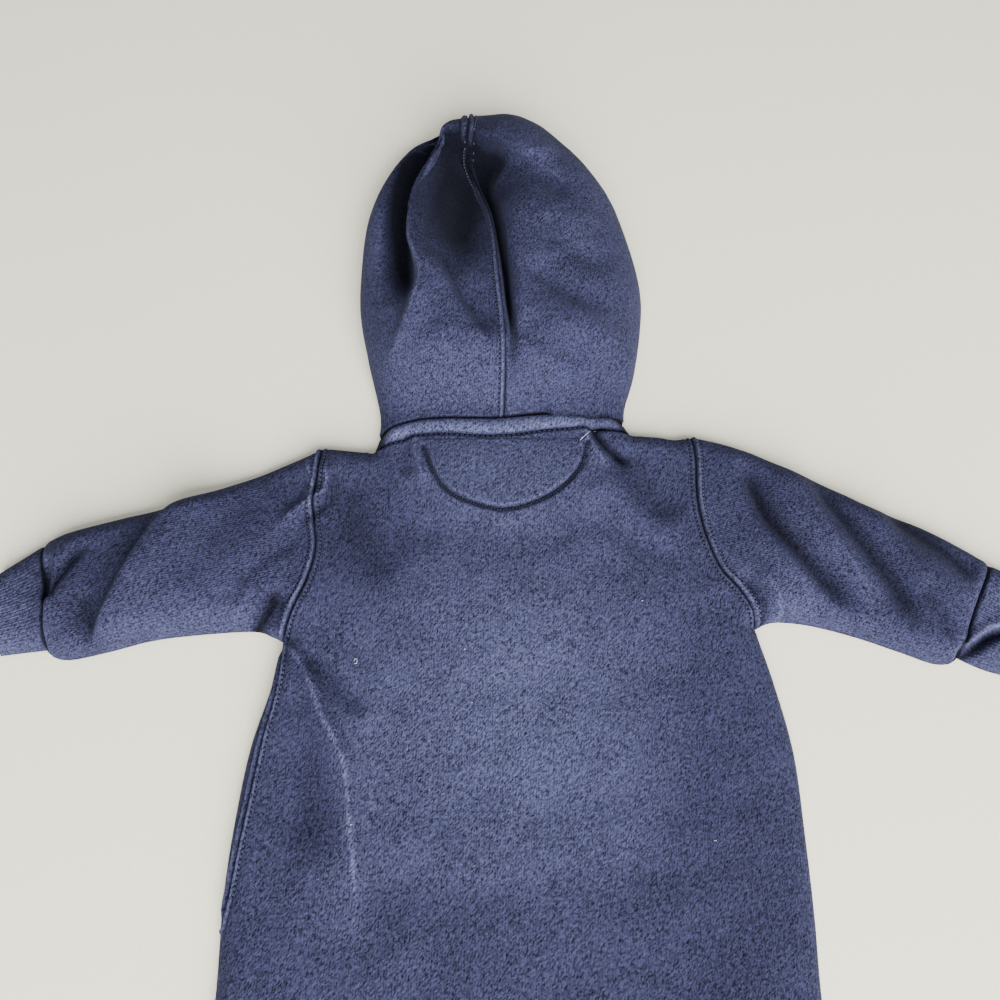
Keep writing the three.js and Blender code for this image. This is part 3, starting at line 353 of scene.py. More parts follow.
def along(points):
    """A smooth line through a few points, as a function from shares of its length to plan points."""
    p = np.asarray(points, float)
    u = np.linspace(0, len(p) - 1, 60 * len(p))
    i = np.minimum(u.astype(int), len(p) - 2)
    f = (u - i)[:, None]
    a, b = p[i], p[i + 1]
    out = (b - p[np.maximum(i - 1, 0)]) / 2
    into = (p[np.minimum(i + 2, len(p) - 1)] - a) / 2
    fine = (2 * a - 2 * b + out + into) * f ** 3 + (3 * b - 3 * a - 2 * out - into) * f ** 2 + out * f + a
    length = np.r_[0, np.cumsum(np.hypot(*np.diff(fine, axis=0).T))]

    def line(shares):
        reached = np.asarray(shares, float) * length[-1]
        return np.stack([np.interp(reached, length, fine[:, k]) for k in (0, 1)], axis=-1)

    return line


def straight(a, b):
    a, b = np.asarray(a, float), np.asarray(b, float)
    return lambda shares: mix(a, b, np.asarray(shares, float)[..., None])


def backwards(line):
    return lambda shares: line(1 - np.asarray(shares, float))


def joined(first, share, second):
    def line(shares):
        t = np.asarray(shares, float)
        early = first(np.clip(t / share, 0, 1))
        late = second(np.clip((t - share) / (1 - share), 0, 1))
        return np.where((t <= share)[..., None], early, late)

    return line


def ends_of(line):
    return line(np.array(0.0)), line(np.array(1.0))


def graded(length, middle, zones=(), growth=0.3, count=None):
    """Shares of a length, closer together around some places: each zone is (place, reach, step)."""
    d = np.linspace(0, length, 4000)
    spacing = np.full_like(d, middle)
    for place, reach, step in zones:
        spacing = np.minimum(spacing, step + growth * np.maximum(np.abs(d - place) - reach, 0))
    steps = np.r_[0, np.cumsum(np.diff(d) / ((spacing[1:] + spacing[:-1]) / 2))]
    count = count or 2 * max(1, round(steps[-1] / 2)) + 1
    return np.interp(np.linspace(0, steps[-1], count), steps, d) / length


def patch(edges, s, t):
    """Plan points of a patch between two rows (start, end) and two sides (low, high)."""
    start, end, low, high = edges
    across = t[None, :, None]
    down = s[:, None, None]
    rows = mix(start(t)[None], end(t)[None], down)
    sides = mix(low(s)[:, None], high(s)[:, None], across)
    (a, b), (c, d) = ends_of(start), ends_of(end)
    return rows + sides - mix(mix(a, b, across), mix(c, d, across), down)


def near_line(points, plan):
    """Distance to a broken line, the side (1 on its left hand) and the share passed, for each plan point."""
    flat = plan.reshape(-1, 2)
    step = np.diff(points, axis=0)
    found = np.empty((3, len(flat)))
    for first in range(0, len(flat), 4000):
        part = slice(first, first + 4000)
        gap = flat[part, None] - points[:-1]
        t = np.clip((gap * step).sum(-1) / (step ** 2).sum(-1), 0, 1)
        square = ((gap - t[..., None] * step) ** 2).sum(-1)
        k = square.argmin(1)
        row = np.arange(len(k))
        turn = step[k, 0] * gap[row, k, 1] - step[k, 1] * gap[row, k, 0]
        found[:, part] = np.sqrt(square[row, k]), np.where(turn >= 0, 1, -1), (k + t[row, k]) / len(step)
    return found.reshape(3, *plan.shape[:-1])


def within(points, plan, reach):
    return ((plan > points.min(0) - reach) & (plan < points.max(0) + reach)).all(-1)


# ---- the outline of the whole garment without its hood; its cuts run on past the ends ----
def sampled(points, count=40):
    return along(points)(np.linspace(0, 1, count))


def past_both_ends(first, second, run_on=40):
    a, b = sampled(first), sampled(second)
    tips = [line[-1] + run_on * (line[-1] - line[-2]) / np.hypot(*(line[-1] - line[-2])) for line in (a, b)]
    return np.concatenate([a, tips, b[::-1]])


def without_doubles(outline):
    return outline[np.r_[True, np.hypot(*np.diff(outline, axis=0).T) > 1e-6]]


OUTLINE = without_doubles(np.concatenate([
    np.array([(76, 38), (71, 46), (73, 90), (-69, 90), (-69, 37), (-72, 27)], float),
    sampled(SHOULDER["left"])[::-1], sampled(SLEEVE_TOP["left"]),
    past_both_ends(CUFF_TOP["left"], CUFF_UNDER["left"]), sampled(SLEEVE_UNDER["left"])[::-1],
    sampled(SIDE["left"]), sampled(LEG_OUTER["left"]),
    past_both_ends(ANKLE_OUTER["left"], ANKLE_INNER["left"]),
    sampled(LEG_INNER["left"])[::-1], sampled(LEG_INNER["right"]),
    past_both_ends(ANKLE_INNER["right"], ANKLE_OUTER["right"]), sampled(LEG_OUTER["right"])[::-1],
    sampled(SIDE["right"])[::-1], sampled(SLEEVE_UNDER["right"]),
    past_both_ends(CUFF_UNDER["right"], CUFF_TOP["right"]), sampled(SLEEVE_TOP["right"])[::-1],
    sampled(SHOULDER["right"]),
]))
HOOD_OUTLINE = without_doubles(np.concatenate([
    np.array([(71, -20), (-69, -20)], float), sampled(HOOD_SIDE["left"]), sampled(HOOD_CROWN["left"]),
    sampled(HOOD_CROWN["right"])[::-1], sampled(HOOD_SIDE["right"])[::-1],
]))
ON_THE_EDGE = 0.3            # chord error of the outlines: a point this near is on the edge itself


def inside_by(outline, plan):
    return np.maximum(near_line(outline, plan)[0] - ON_THE_EDGE, 0)


# ---- heights of the cloth ----
def swells_at(swells, plan):
    rise = np.zeros(plan.shape[:-1])
    for _, x, y, reach, height in swells:
        rise += height * np.exp(-(((plan - (x, y)) ** 2).sum(-1)) / reach ** 2)
    return rise


def folds_at(folds, plan, worn=False):
    """Height of the creases at each plan point, or how worn their crests are (below zero: painted shade)."""
    total = np.zeros(plan.shape[:-1])
    for _, height, near, far, wear_and_shade, line in folds:
        points = sampled(line, 30)
        close = within(points, plan, 3 * max(near, far))
        if not close.any() or (worn and not wear_and_shade):
            continue
        distance, side, share = near_line(points, plan[close])
        ends = smooth(share / FOLD_ENDS[0]) * smooth((1 - share) / FOLD_ENDS[1])
        if worn:
            width = 0.8 if wear_and_shade > 0 else 0.75 * np.where(side > 0, near, far)
            total[close] += wear_and_shade * ends * np.exp(-((distance / width) ** 2))
        else:
            total[close] += height * ends * np.exp(-((distance / np.where(side > 0, near, far)) ** 2))
    return total


def ripple(plan, wavelength, seed, waves=7):
    """Slow unevenness: a few long waves in all directions, about 1 high at most."""
    rng = np.random.default_rng(seed)
    total = np.zeros(plan.shape[:-1])
    for angle, stretch, phase in zip(*rng.uniform([[0], [0.7], [0]], [[math.pi], [1.5], [6.28]], (3, waves))):
        run = plan[..., 0] * math.cos(angle) + plan[..., 1] * math.sin(angle)
        total += np.sin(2 * math.pi * run / (wavelength * stretch) + phase)
    return total / waves ** 0.5 / 1.4


def ripples_at(ripples, plan):
    return sum(height * ripple(plan, wavelength, seed) for wavelength, seed, height in ripples)


def seam_rise(plan, line, section):
    """Height that a seam gives to the cloth beside it."""
    points = sampled(line, 90)
    rise = np.zeros(plan.shape[:-1])
    close = within(points, plan, section[-1][0])
    if close.any():
        rise[close] = np.interp(near_line(points, plan[close])[0], *zip(*section), right=0)
    return rise


def tone_at(plan):
    """How much paler the cloth is, or below zero how much painted shade darkens it, at each plan point."""
    total = np.zeros(plan.shape[:-1])
    for _, x, y, across, along_it, amount in TONES:
        total += amount * np.exp(-(((plan[..., 0] - x) / across) ** 2) - ((plan[..., 1] - y) / along_it) ** 2)
    return total


def cloth_height(plan, inside):
    """Height of the body's upper cloth, rolled down to its edge within reach of an outline."""
    out = np.abs(plan[..., 0] - BACK_MIDDLE)
    full = SLEEVE_FULL * coming(out, SLEEVES_START) * (1 - SLIMMER * coming(out, SLEEVES_SLIM))
    full = full * quarter_round(inside / SLEEVE_FULL_REACH) * coming(plan[..., 1], SLEEVES_ABOVE)
    loft = BODY_LOFT + swells_at(BODY_SWELLS, plan) + full - EDGE_MIDDLE
    creased = loft + folds_at(BODY_FOLDS, plan) + ripples_at(BODY_RIPPLES, plan)
    return EDGE_MIDDLE + quarter_round(inside / EDGE_ROLL) * creased


def body_top(plan):
    return cloth_height(plan, inside_by(OUTLINE, plan))


def body_under(plan):
    return EDGE_MIDDLE * (1 - quarter_round(inside_by(OUTLINE, plan) / UNDER_ROLL))


def hood_edge(y):
    return mix(EDGE_MIDDLE, HOOD_EDGE, coming(y, HOOD_EDGE_UP))


def hood_top(plan):
    inside = inside_by(HOOD_OUTLINE, plan)
    rise = quarter_round(inside / HOOD_ROLL)
    loft = mix(HOOD_LOFT["left"], HOOD_LOFT["right"], coming(plan[..., 0], HOOD_LOFT_CHANGE))
    edge = hood_edge(plan[..., 1])
    shaped = swells_at(HOOD_SWELLS, plan) + folds_at(HOOD_FOLDS, plan)
    deep = smooth(rise * 1.4)
    dome = edge + (loft - edge) * rise + deep * (shaped + ripples_at(HOOD_RIPPLES, plan))
    held_up = HOOD_LOW + LOW_EASE * np.logaddexp(0, (dome - HOOD_LOW) / LOW_EASE)
    return mix(cloth_height(plan, inside), mix(dome, held_up, deep), coming(plan[..., 1], HOOD_START))


def placed(plan, height):
    return np.concatenate([plan, height[..., None]], axis=-1)


# ---- cloth faces and shells ----
def turned(plan, degrees):
    """Plan points turned so that the wales of a piece run along its own second axis, in metres."""
    c, s = math.cos(math.radians(degrees)), math.sin(math.radians(degrees))
    return np.stack([plan[..., 0] * c + plan[..., 1] * s, plan[..., 1] * c - plan[..., 0] * s], -1) / 1000


def face(places, up=1, detail=None, worn=None, wales=None, pinch=None, grain=0):
    """One grid of a cloth face: places, relief along the normal, wear and painted shade, wales, and pinch of
    its rim.
    """
    flat = np.zeros(places.shape[:2])
    return {
        "places": places, "up": up,
        "detail": flat if detail is None else detail,
        "worn": flat if worn is None else worn,
        "pinch": flat if pinch is None else pinch,
        "wales": turned(places[..., :2], grain) if wales is None else wales,
    }


WELD = 0.03                  # grids whose border points are this near share them


def numbered(shape, first):
    return first + np.arange(shape[0] * shape[1]).reshape(shape)


def quads_of(index):
    return np.stack([index[:-1, :-1], index[:-1, 1:], index[1:, 1:], index[1:, :-1]], -1).reshape(-1, 4)


def border_of(index):
    return np.unique(np.concatenate([index[0], index[-1], index[:, 0], index[:, -1]]))


def face_normals(points, quads):
    a, b, c, d = (points[quads[:, k]] for k in range(4))
    return np.cross(c - a, d - b)


def point_normals(points, quads):
    normals = np.zeros_like(points)
    each = face_normals(points, quads)
    for k in range(4):
        np.add.at(normals, quads[:, k], each)
    return normals / np.maximum(np.linalg.norm(normals, axis=1), 1e-12)[:, None]


corner_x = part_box("cuff_left")[0].x * 1000 - CUFF_TOP["left"][-1][0]
corner_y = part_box("ankle_cuff_left")[0].y * 1000 - ANKLE_OUTER["left"][-1][1]
ORIGIN = np.array([corner_x, corner_y, 0.0])
surfaces = {}                # outer face of each finished piece, for laying stitches on


def mesh_piece(name, points, polygons, material, uv=None, worn=None):
    """A mesh from points in garment millimetres, at the origin of the row's frame."""
    mesh = bpy.data.meshes.new(name)
    sizes = np.full(len(polygons), polygons.shape[1])
    mesh.vertices.add(len(points))
    mesh.vertices.foreach_set("co", ((points + ORIGIN) / 1000).astype(np.float32).ravel())
    mesh.loops.add(polygons.size)
    mesh.loops.foreach_set("vertex_index", polygons.ravel().astype(np.int32))
    mesh.polygons.add(len(polygons))
    mesh.polygons.foreach_set("loop_start", np.r_[0, np.cumsum(sizes)[:-1]].astype(np.int32))
    mesh.update(calc_edges=True)
    if uv is not None:
        mesh.uv_layers.new(name="wales").data.foreach_set("uv", uv.astype(np.float32).ravel())
    # each point's wear above zero, and painted shade below zero, which the cloth's material reads
    if worn is not None:
        attribute = mesh.attributes.new("worn", "FLOAT", "POINT")
        attribute.data.foreach_set("value", worn.astype(np.float32))
    mesh.validate()
    mesh.shade_smooth()
    mesh.materials.append(material)
    piece = bpy.data.objects.new(name, mesh)
    bpy.context.scene.collection.objects.link(piece)
    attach(piece, "root")
    return piece


def welded(places, borders):
    """The first of the points at each border point's place, and every other point itself."""
    tree = KDTree(len(borders))
    for i in borders:
        tree.insert(places[i], int(i))
    tree.balance()
    twin = np.arange(len(places))
    for i in borders:
        twin[i] = min(found[1] for found in tree.find_range(places[i], WELD))
    return twin


def shell(name, faces, thickness, material):
    """A closed wall of cloth from its outer faces: the relief is on the outside only, and rims close it."""
    quads, borders, first = [], [], 0
    for grid in faces:
        index = numbered(grid["places"].shape[:2], first)
        these = quads_of(index)
        downwards = face_normals(grid["places"].reshape(-1, 3), these - first)[:, 2].sum() * grid["up"] < 0
        quads.append(these[:, ::-1] if downwards else these)
        borders.append(border_of(index))
        first += index.size
    quads = np.concatenate(quads)
    places = np.concatenate([g["places"].reshape(-1, 3) for g in faces])
    uv = np.concatenate([g["wales"].reshape(-1, 2) for g in faces])
    detail, worn, pinch = (np.concatenate([g[k].ravel() for g in faces]) for k in ("detail", "worn", "pinch"))
    used, corners = np.unique(welded(places, np.concatenate(borders))[quads], return_inverse=True)
    corners = corners.reshape(-1, 4)
    base = places[used]
    normal = point_normals(base, corners)
    half = thickness / 2
    outer = base + normal * (detail[used] - pinch[used] * half)[:, None]
    inner = base - normal * (thickness - pinch[used] * half)[:, None]
    count = len(used)
    edges = np.stack([corners, np.roll(corners, -1, axis=1)], -1).reshape(-1, 2)
    edge_uv = np.stack([quads, np.roll(quads, -1, axis=1)], -1).reshape(-1, 2)
    open_edge = ~np.isin(edges[:, 0] * count + edges[:, 1], edges[:, 1] * count + edges[:, 0])
    a, b = edges[open_edge].T
    rims = np.stack([b, a, a + count, b + count], -1)
    polygons = np.concatenate([corners, corners[:, ::-1] + count, rims])
    loops = np.concatenate([quads, quads[:, ::-1], edge_uv[open_edge][:, [1, 0, 0, 1]]]).ravel()
    # seam ridges wear paler, and seam ditches get painted shade; TONES adds its paler places and its painted
    # shade
    seam_wear_and_shade = 0.45 * smooth(detail[used] / 0.9) - smooth(-detail[used] / 1.2)
    wear_and_shade = np.concatenate([worn[used] + seam_wear_and_shade + tone_at(base[:, :2]), np.zeros(count)])
    piece = mesh_piece(name, np.concatenate([outer, inner]), polygons, material, uv[loops], wear_and_shade)
    surfaces[name] = (outer, corners)
    return piece


# ---- materials ----
NAP_STRAND = 0.00085         # metres across a strand of the nap and the gap beside it, coarser than real
NAP_STRETCH = 2.0            # a strand is this much longer than it is wide
NAP_SLANT = math.radians(56)                     # the brushing leans the strands this far from across
NO_LIGHT = "#020204"         # painted shade: the near-black that cloth deep in a fold is mixed towards


def linear(hex_colour):
    """An sRGB hex colour as linear RGBA."""
    channels = [int(hex_colour[i:i + 2], 16) / 255 for i in (1, 3, 5)]
    return (*(c / 12.92 if c <= 0.04045 else ((c + 0.055) / 1.055) ** 2.4 for c in channels), 1.0)


def add_node(tree, kind, settings=None, **inputs):
    """Adds a node with its settings, and sets or links its inputs by name."""
    node = tree.nodes.new(kind)
    for name, value in (settings or {}).items():
        setattr(node, name, value)
    for name, value in inputs.items():
        socket = node.inputs[int(name[1:]) if name[0] == "_" else name.replace("_", " ")]
        if isinstance(value, bpy.types.NodeSocket):
            tree.links.new(value, socket)
        else:
            socket.default_value = value
    return node


def fleece_material(name, dark, light, worn_dark, worn_light, wale_mm, wale_tone, wale_depth, nap_depth):
    """Brushed cotton fleece: matt, of fine slanting strands between its dark and its light tone, with its
    wales showing through. It is worn paler along seams and creases, and painted darker, towards near-black,
    where little light gets in."""
    material = bpy.data.materials.new(name)
    material.use_nodes = True
    tree = material.node_tree
    tree.nodes.clear()
    wales = add_node(tree, "ShaderNodeUVMap", {"uv_map": "wales"}).outputs["UV"]
    place = add_node(tree, "ShaderNodeTexCoord").outputs["Object"]
    worn = add_node(tree, "ShaderNodeAttribute", {"attribute_name": "worn"}).outputs["Fac"]
    combed = add_node(tree, "ShaderNodeMapping", {"vector_type": "TEXTURE"}, Vector=place,
                      Rotation=(0, 0, NAP_SLANT), Scale=(NAP_STRETCH, 1, 1))
    rows = add_node(tree, "ShaderNodeTexWave", {"wave_type": "BANDS", "bands_direction": "X"}, Vector=wales,
                    Scale=0.314 / (wale_mm / 1000), Distortion=1.8, Detail=2.0, Detail_Scale=0.35)
    strands = add_node(tree, "ShaderNodeTexNoise", Vector=combed.outputs[0], Scale=1 / NAP_STRAND, Detail=1.0,
                       Roughness=0.6, Distortion=0.6)
    tufts = add_node(tree, "ShaderNodeTexNoise", Vector=place, Scale=420.0, Detail=2.0, Roughness=0.6)
    drift = add_node(tree, "ShaderNodeTexNoise", Vector=place, Scale=26.0, Detail=3.0, Roughness=0.6)
    fine = add_node(tree, "ShaderNodeMapRange", {"clamp": False}, Value=strands.outputs["Fac"],
                    From_Min=0.3, From_Max=0.7, To_Min=0.05, To_Max=1.0)
    tone = fine.outputs[0]
    for pattern, low, high, amount in ((tufts, 0.35, 0.65, 0.09), (drift, 0.3, 0.7, 0.08),
                                       (rows, 0.0, 1.0, wale_tone / 2)):
        shift = add_node(tree, "ShaderNodeMapRange", {"clamp": False}, Value=pattern.outputs["Fac"],
                         From_Min=low, From_Max=high, To_Min=-amount, To_Max=amount)
        tone = add_node(tree, "ShaderNodeMath", {"operation": "ADD"}, _0=tone, _1=shift.outputs[0]).outputs[0]
    ground = add_node(tree, "ShaderNodeMix", {"data_type": "RGBA"}, _0=tone,
                      _6=linear(dark), _7=linear(light))
    pale_ground = add_node(tree, "ShaderNodeMix", {"data_type": "RGBA"}, _0=tone,
                           _6=linear(worn_dark), _7=linear(worn_light))
    crest = add_node(tree, "ShaderNodeMapRange", {"clamp": True}, Value=worn,
                     From_Min=0.0, From_Max=1.2, To_Min=0.0, To_Max=1.0)
    rubbed = add_node(tree, "ShaderNodeMix", {"data_type": "RGBA"}, _0=crest.outputs[0],
                      _6=ground.outputs[2], _7=pale_ground.outputs[2])
    # painted shade: below zero the colour is mixed towards near-black, where the folds would shade the cloth
    hollow = add_node(tree, "ShaderNodeMapRange", {"clamp": True}, Value=worn,
                      From_Min=-1.0, From_Max=0.0, To_Min=0.9, To_Max=0.0)
    shaded = add_node(tree, "ShaderNodeMix", {"data_type": "RGBA"}, _0=hollow.outputs[0],
                      _6=rubbed.outputs[2], _7=linear(NO_LIGHT))
    knit = add_node(tree, "ShaderNodeBump", Strength=1.0, Distance=wale_depth / 1000,
                    Height=rows.outputs["Fac"])
    tufted = add_node(tree, "ShaderNodeBump", Strength=1.0, Distance=nap_depth * 1.5 / 1000,
                      Height=tufts.outputs["Fac"], Normal=knit.outputs[0])
    napped = add_node(tree, "ShaderNodeBump", Strength=1.0, Distance=nap_depth / 1000,
                      Height=strands.outputs["Fac"], Normal=tufted.outputs[0])
    cloth = add_node(tree, "ShaderNodeBsdfPrincipled", Base_Color=shaded.outputs[2], Roughness=0.95,
                     Specular_IOR_Level=0.08, Sheen_Weight=0.1, Sheen_Roughness=0.5,
                     Sheen_Tint=linear("#9094b8"), Normal=napped.outputs[0])
    add_node(tree, "ShaderNodeOutputMaterial", Surface=cloth.outputs[0])
    return material


def plain_material(name, colour, roughness, specular=0.5, sheen=0.0):
    material = bpy.data.materials.new(name)
    material.use_nodes = True
    tree = material.node_tree
    tree.nodes.clear()
    place = add_node(tree, "ShaderNodeTexCoord").outputs["Object"]
    grain = add_node(tree, "ShaderNodeTexNoise", Vector=place, Scale=900.0, Detail=2.0)
    tone = add_node(tree, "ShaderNodeMix", {"data_type": "RGBA"}, _0=grain.outputs["Fac"],
                    _6=linear(colour), _7=tuple(min(1, 1.35 * c) for c in linear(colour)))
    surface = add_node(tree, "ShaderNodeBsdfPrincipled", Base_Color=tone.outputs[2], Roughness=roughness,
                       Specular_IOR_Level=specular, Sheen_Weight=sheen)
    add_node(tree, "ShaderNodeOutputMaterial", Surface=surface.outputs[0])
    return material


# the body, sleeves and hood: dark navy with a soft, heathered, slightly dusty nap
navy_fleece = fleece_material("brushed_navy_fleece", "#11121c", "#3c3d5a", "#222438", "#6d7096",
                              1.25, 0.12, 0.09, 0.33)
# cuffs: the same navy in fine parallel ribs, less brushed
navy_rib = fleece_material("navy_rib_knit", "#11121c", "#3b3c58", "#222438", "#6d7096", 1.1, 0.16, 0.10, 0.18)
# half-moon facing: flat and matt, with no nap to speak of
navy_jersey = fleece_material("navy_jersey", "#11121c", "#383953", "#20213a", "#5c6088", 1.0, 0.2, 0.10, 0.10)
# threads a little lighter or darker than the cloth, the needle holes as near-black dots of painted shade,
# pale lint, and snaps with a soft plastic sheen
navy_thread = plain_material("navy_thread", "#262a43", 0.75, 0.2, 0.2)
# the half-moon's thread is darker than the others: a deep navy thread, partly painted shade of the ditch it
# lies in
half_moon_thread = plain_material("deep_navy_thread", "#171a2a", 0.8, 0.2, 0.1)
needle_hole_shade = plain_material("needle_hole_shadow", "#0a0c15", 0.95, 0.1)
lint_white = plain_material("white_lint", "#c4c7d2", 0.9, 0.2)
snap_plastic = plain_material("navy_snap_plastic", "#2c3350", 0.32, 0.5)


# ---- rows and columns of the cloth: a length and its plain spacing, then closer zones ----
LEFT_COLUMNS = graded(125, 2.4, [(0, 3.5, 0.32), (36, 30, 1.05), (125, 52, 1.25)], 0.22) / 2
RIGHT_COLUMNS = 0.5 + graded(125, 2.4, [(0, 52, 1.25), (125, 3.5, 0.32)], 0.22) / 2
BACK_COLUMNS = np.concatenate([LEFT_COLUMNS, RIGHT_COLUMNS[1:]])
BACK_ROWS = graded(113, 1.85, [(0, 4, 0.5), (10, 34, 1.0)], 0.2)
SIDE_ROWS = graded(255, 3.3, [(0, 150, 1.85)], 0.1)
LEG_ROWS = graded(140, 4.8, [(140, 0, 1.0)])
LEG_SPREAD = 0.08            # a leg's columns are evenly spread from this share of its length on


def side_inset(s):
    on_top = np.sin(math.pi * np.clip(s / SIDE_SEAM_REACH, 0, 1)) ** 0.6
    return SIDE_SEAM_INSET * np.where((s <= 0) | (s >= SIDE_SEAM_REACH), 0, on_top)


def left_side_seam(s):
    s = np.asarray(s, float)
    line = along(SIDE["left"])(s)
    return line + np.stack([side_inset(s), np.zeros_like(s)], -1)


LEFT_SIDE_SEAM = left_side_seam(np.linspace(0, SIDE_SEAM_REACH, 12))


def leg_edges(side):
    outer, inner = along(LEG_OUTER[side]), along(LEG_INNER[side])
    (a, b), (c, d) = ends_of(outer), ends_of(inner)
    return straight(a, c), straight(b, d), outer, inner


def spread_patch(edges, rows, body_shares):
    """A leg's patch, whose columns start as the body's and soon spread evenly over the leg."""
    leg = graded(120, 3.0, [(0, 0, 0.35), (120, 0, 0.35)], count=len(body_shares))
    return np.stack([patch(edges, np.array([s]), mix(body_shares, leg, smooth(s / LEG_SPREAD)))[0]
                     for s in rows])


BACK_SEAMS = [
    (ARMHOLE["left"], ARMHOLE_ON_BODY), (ARMHOLE["right"], ARMHOLE_ON_BODY), (BACK_NECK, BAND_ON_BODY),
    (HALF_MOON, HALF_MOON_GROOVE), (LEFT_SIDE_SEAM, SIDE_SEAM),
]


def back_relief(plan):
    return sum(seam_rise(plan, line, section) for line, section in BACK_SEAMS)


def moon_rise(plan):
    """The back stands a little higher where the half-moon facing doubles it."""
    moon = sampled(HALF_MOON, 60)
    close = within(moon, plan, 1)
    distance, side, _ = near_line(moon, plan[close])
    rise = np.zeros(plan.shape[:-1])
    rise[close] = np.where(side > 0, MOON_LIFT * smooth(distance / MOON_LIFT_REACH), 0)
    return rise


def back_panel():
    armpits = straight(ARMHOLE["left"][-1], ARMHOLE["right"][-1])
    hips = straight(SIDE["left"][-1], SIDE["right"][-1])
    neck_to_tip = joined(along(BACK_NECK), (1 - NECK_SHARE) / (1 - NECK_SHARE / 2),
                         backwards(along(SHOULDER["right"])))
    top_edge = joined(along(SHOULDER["left"]), NECK_SHARE / 2, neck_to_tip)
    armholes = along(ARMHOLE["left"]), along(ARMHOLE["right"])
    upper = patch((top_edge, armpits, *armholes), BACK_ROWS, BACK_COLUMNS)
    lower = patch((armpits, hips, left_side_seam, along(SIDE["right"])), SIDE_ROWS, BACK_COLUMNS)
    halves = {"left": LEFT_COLUMNS * 2, "right": (1 - RIGHT_COLUMNS[::-1]) * 2}
    plans = [upper, lower] + [spread_patch(leg_edges(side), LEG_ROWS, halves[side]) for side in SIDES]
    return [face(placed(p, body_top(p) + moon_rise(p)), 1, back_relief(p), folds_at(BODY_FOLDS, p, True))
            for p in plans]


def centre_front(share):
    return straight(CHEST_MIDDLE, CROTCH)(share)


def centre_beside(y):
    """The x of the centre-front line at each y."""
    return centre_front((CHEST_MIDDLE[1] - y) / (CHEST_MIDDLE[1] - CROTCH[1]))[..., 0]


def front_relief(plan):
    """The hollow that each snap sits in. Relief is downwards on a front."""
    rise = np.zeros(plan.shape[:-1])
    for y in SNAP_Y:
        reach = np.hypot(plan[..., 0] - centre_beside(y), plan[..., 1] - y)
        rise = np.minimum(rise, -SNAP_DEPTH * (1 - smooth((reach - SNAP_RADIUS - 0.4) / 1.6)))
    return rise


def front_panel(side, is_outer):
    lap_sign = 1 if side == "left" else -1
    lap_rise = 0 if is_outer else PRESSED + LAP_GAP

    def lapped(plan, share=1):
        """On the floor, or on the outer front where the inner one laps over it."""
        past = lap_sign * (plan[..., 0] - centre_beside(plan[..., 1])) + PLACKET_LAP
        lift = lap_rise * smooth((past + LAP_CLEAR + LAP_STEP) / LAP_STEP)
        return placed(plan, body_under(plan) + share * lift)

    chest_line = lambda s: centre_front(np.asarray(s) * CHEST_SHARE)
    lower_line = lambda s: centre_front(mix(CHEST_SHARE, 1, np.asarray(s)))
    top_edge = joined(along(SHOULDER[side]), NECK_SHARE, along(FRONT_NECK[side]))
    chest = straight(ARMHOLE[side][-1], centre_front(CHEST_SHARE))
    hips = straight(SIDE[side][-1], CROTCH)
    columns = graded(130, 3.0, [(0, 0, 0.4), (130, 6, 1.2)])
    rows, low_rows = graded(113, 2.0), graded(255, 2.2)
    fade = 1 - coming(low_rows, LAP_FADE)[:, None]
    places = [
        lapped(patch((top_edge, chest, along(ARMHOLE[side]), chest_line), rows, columns)),
        lapped(patch((chest, hips, along(SIDE[side]), lower_line), low_rows, columns), fade),
        lapped(spread_patch(leg_edges(side), LEG_ROWS, columns), 0),
    ]
    lap_rows = low_rows[:int(np.searchsorted(low_rows, LAP_END)) + 1]
    across_lap = np.linspace(0, lap_sign * PLACKET_LAP, 10)[None, :, None]
    for near in (chest_line(rows), lower_line(lap_rows)):
        places.append(lapped(near[:, None] + across_lap * (1, 0)))
    faces = [face(grid, -1, front_relief(grid[..., :2]) if is_outer else None) for grid in places]
    if side == "left":
        round_rows = low_rows[low_rows <= SIDE_SEAM_REACH]
        edge, seam = along(SIDE["left"])(round_rows), left_side_seam(round_rows)
        plan = mix(edge[:, None], seam[:, None], graded(8, 0.8, [(0, 0, 0.2)])[None, :, None])
        faces.append(face(placed(plan, body_top(plan)), 1, seam_rise(plan, LEFT_SIDE_SEAM, SIDE_SEAM)))
    return faces


SLEEVE_GRAIN = {"left": 105.0, "right": 71.0}    # wales run along the sleeve, which slants down


def sleeve_relief(side):
    return lambda plan: (seam_rise(plan, ARMHOLE[side], ARMHOLE_ON_SLEEVE)
                         + seam_rise(plan, CUFF_SEAM[side], CUFF_ON_SLEEVE))


def tube(edges, rows, columns, relief, grain, pinch=None):
    """A flattened tube of cloth: across the top from one edge to the other, and back underneath."""
    plan = patch(edges, rows, columns)
    closed = None if pinch is None else np.repeat(pinch[:, None], len(columns), axis=1)
    worn = folds_at(BODY_FOLDS, plan, True)
    fade = smooth(columns * (1 - columns) * 40)[None]
    lifted = relief(plan)
    top = face(placed(plan, body_top(plan)), 1, lifted * mix(0.2, 1, fade), worn, pinch=closed, grain=grain)
    under = face(placed(plan, body_under(plan)), -1, np.minimum(lifted, 0) * 0.2, pinch=closed, grain=grain)
    return [top, under]


def sleeve(side):
    edges = along(ARMHOLE[side]), along(CUFF_SEAM[side]), along(SLEEVE_TOP[side]), along(SLEEVE_UNDER[side])
    rows = graded(140, 1.5, [(0, 4, 0.42), (140, 5, 0.5)], 0.2)
    columns = graded(90, 1.5, [(0, 0, 0.2), (90, 0, 0.2)])
    return tube(edges, rows, columns, sleeve_relief(side), SLEEVE_GRAIN[side])


def mouth_pinch(rows, length, thickness):
    return 1 - quarter_round((1 - rows) * length / (thickness / 2))


RIB_PITCH = 1.7              # millimetres from rib to rib
RIB_DEPTH = 0.3


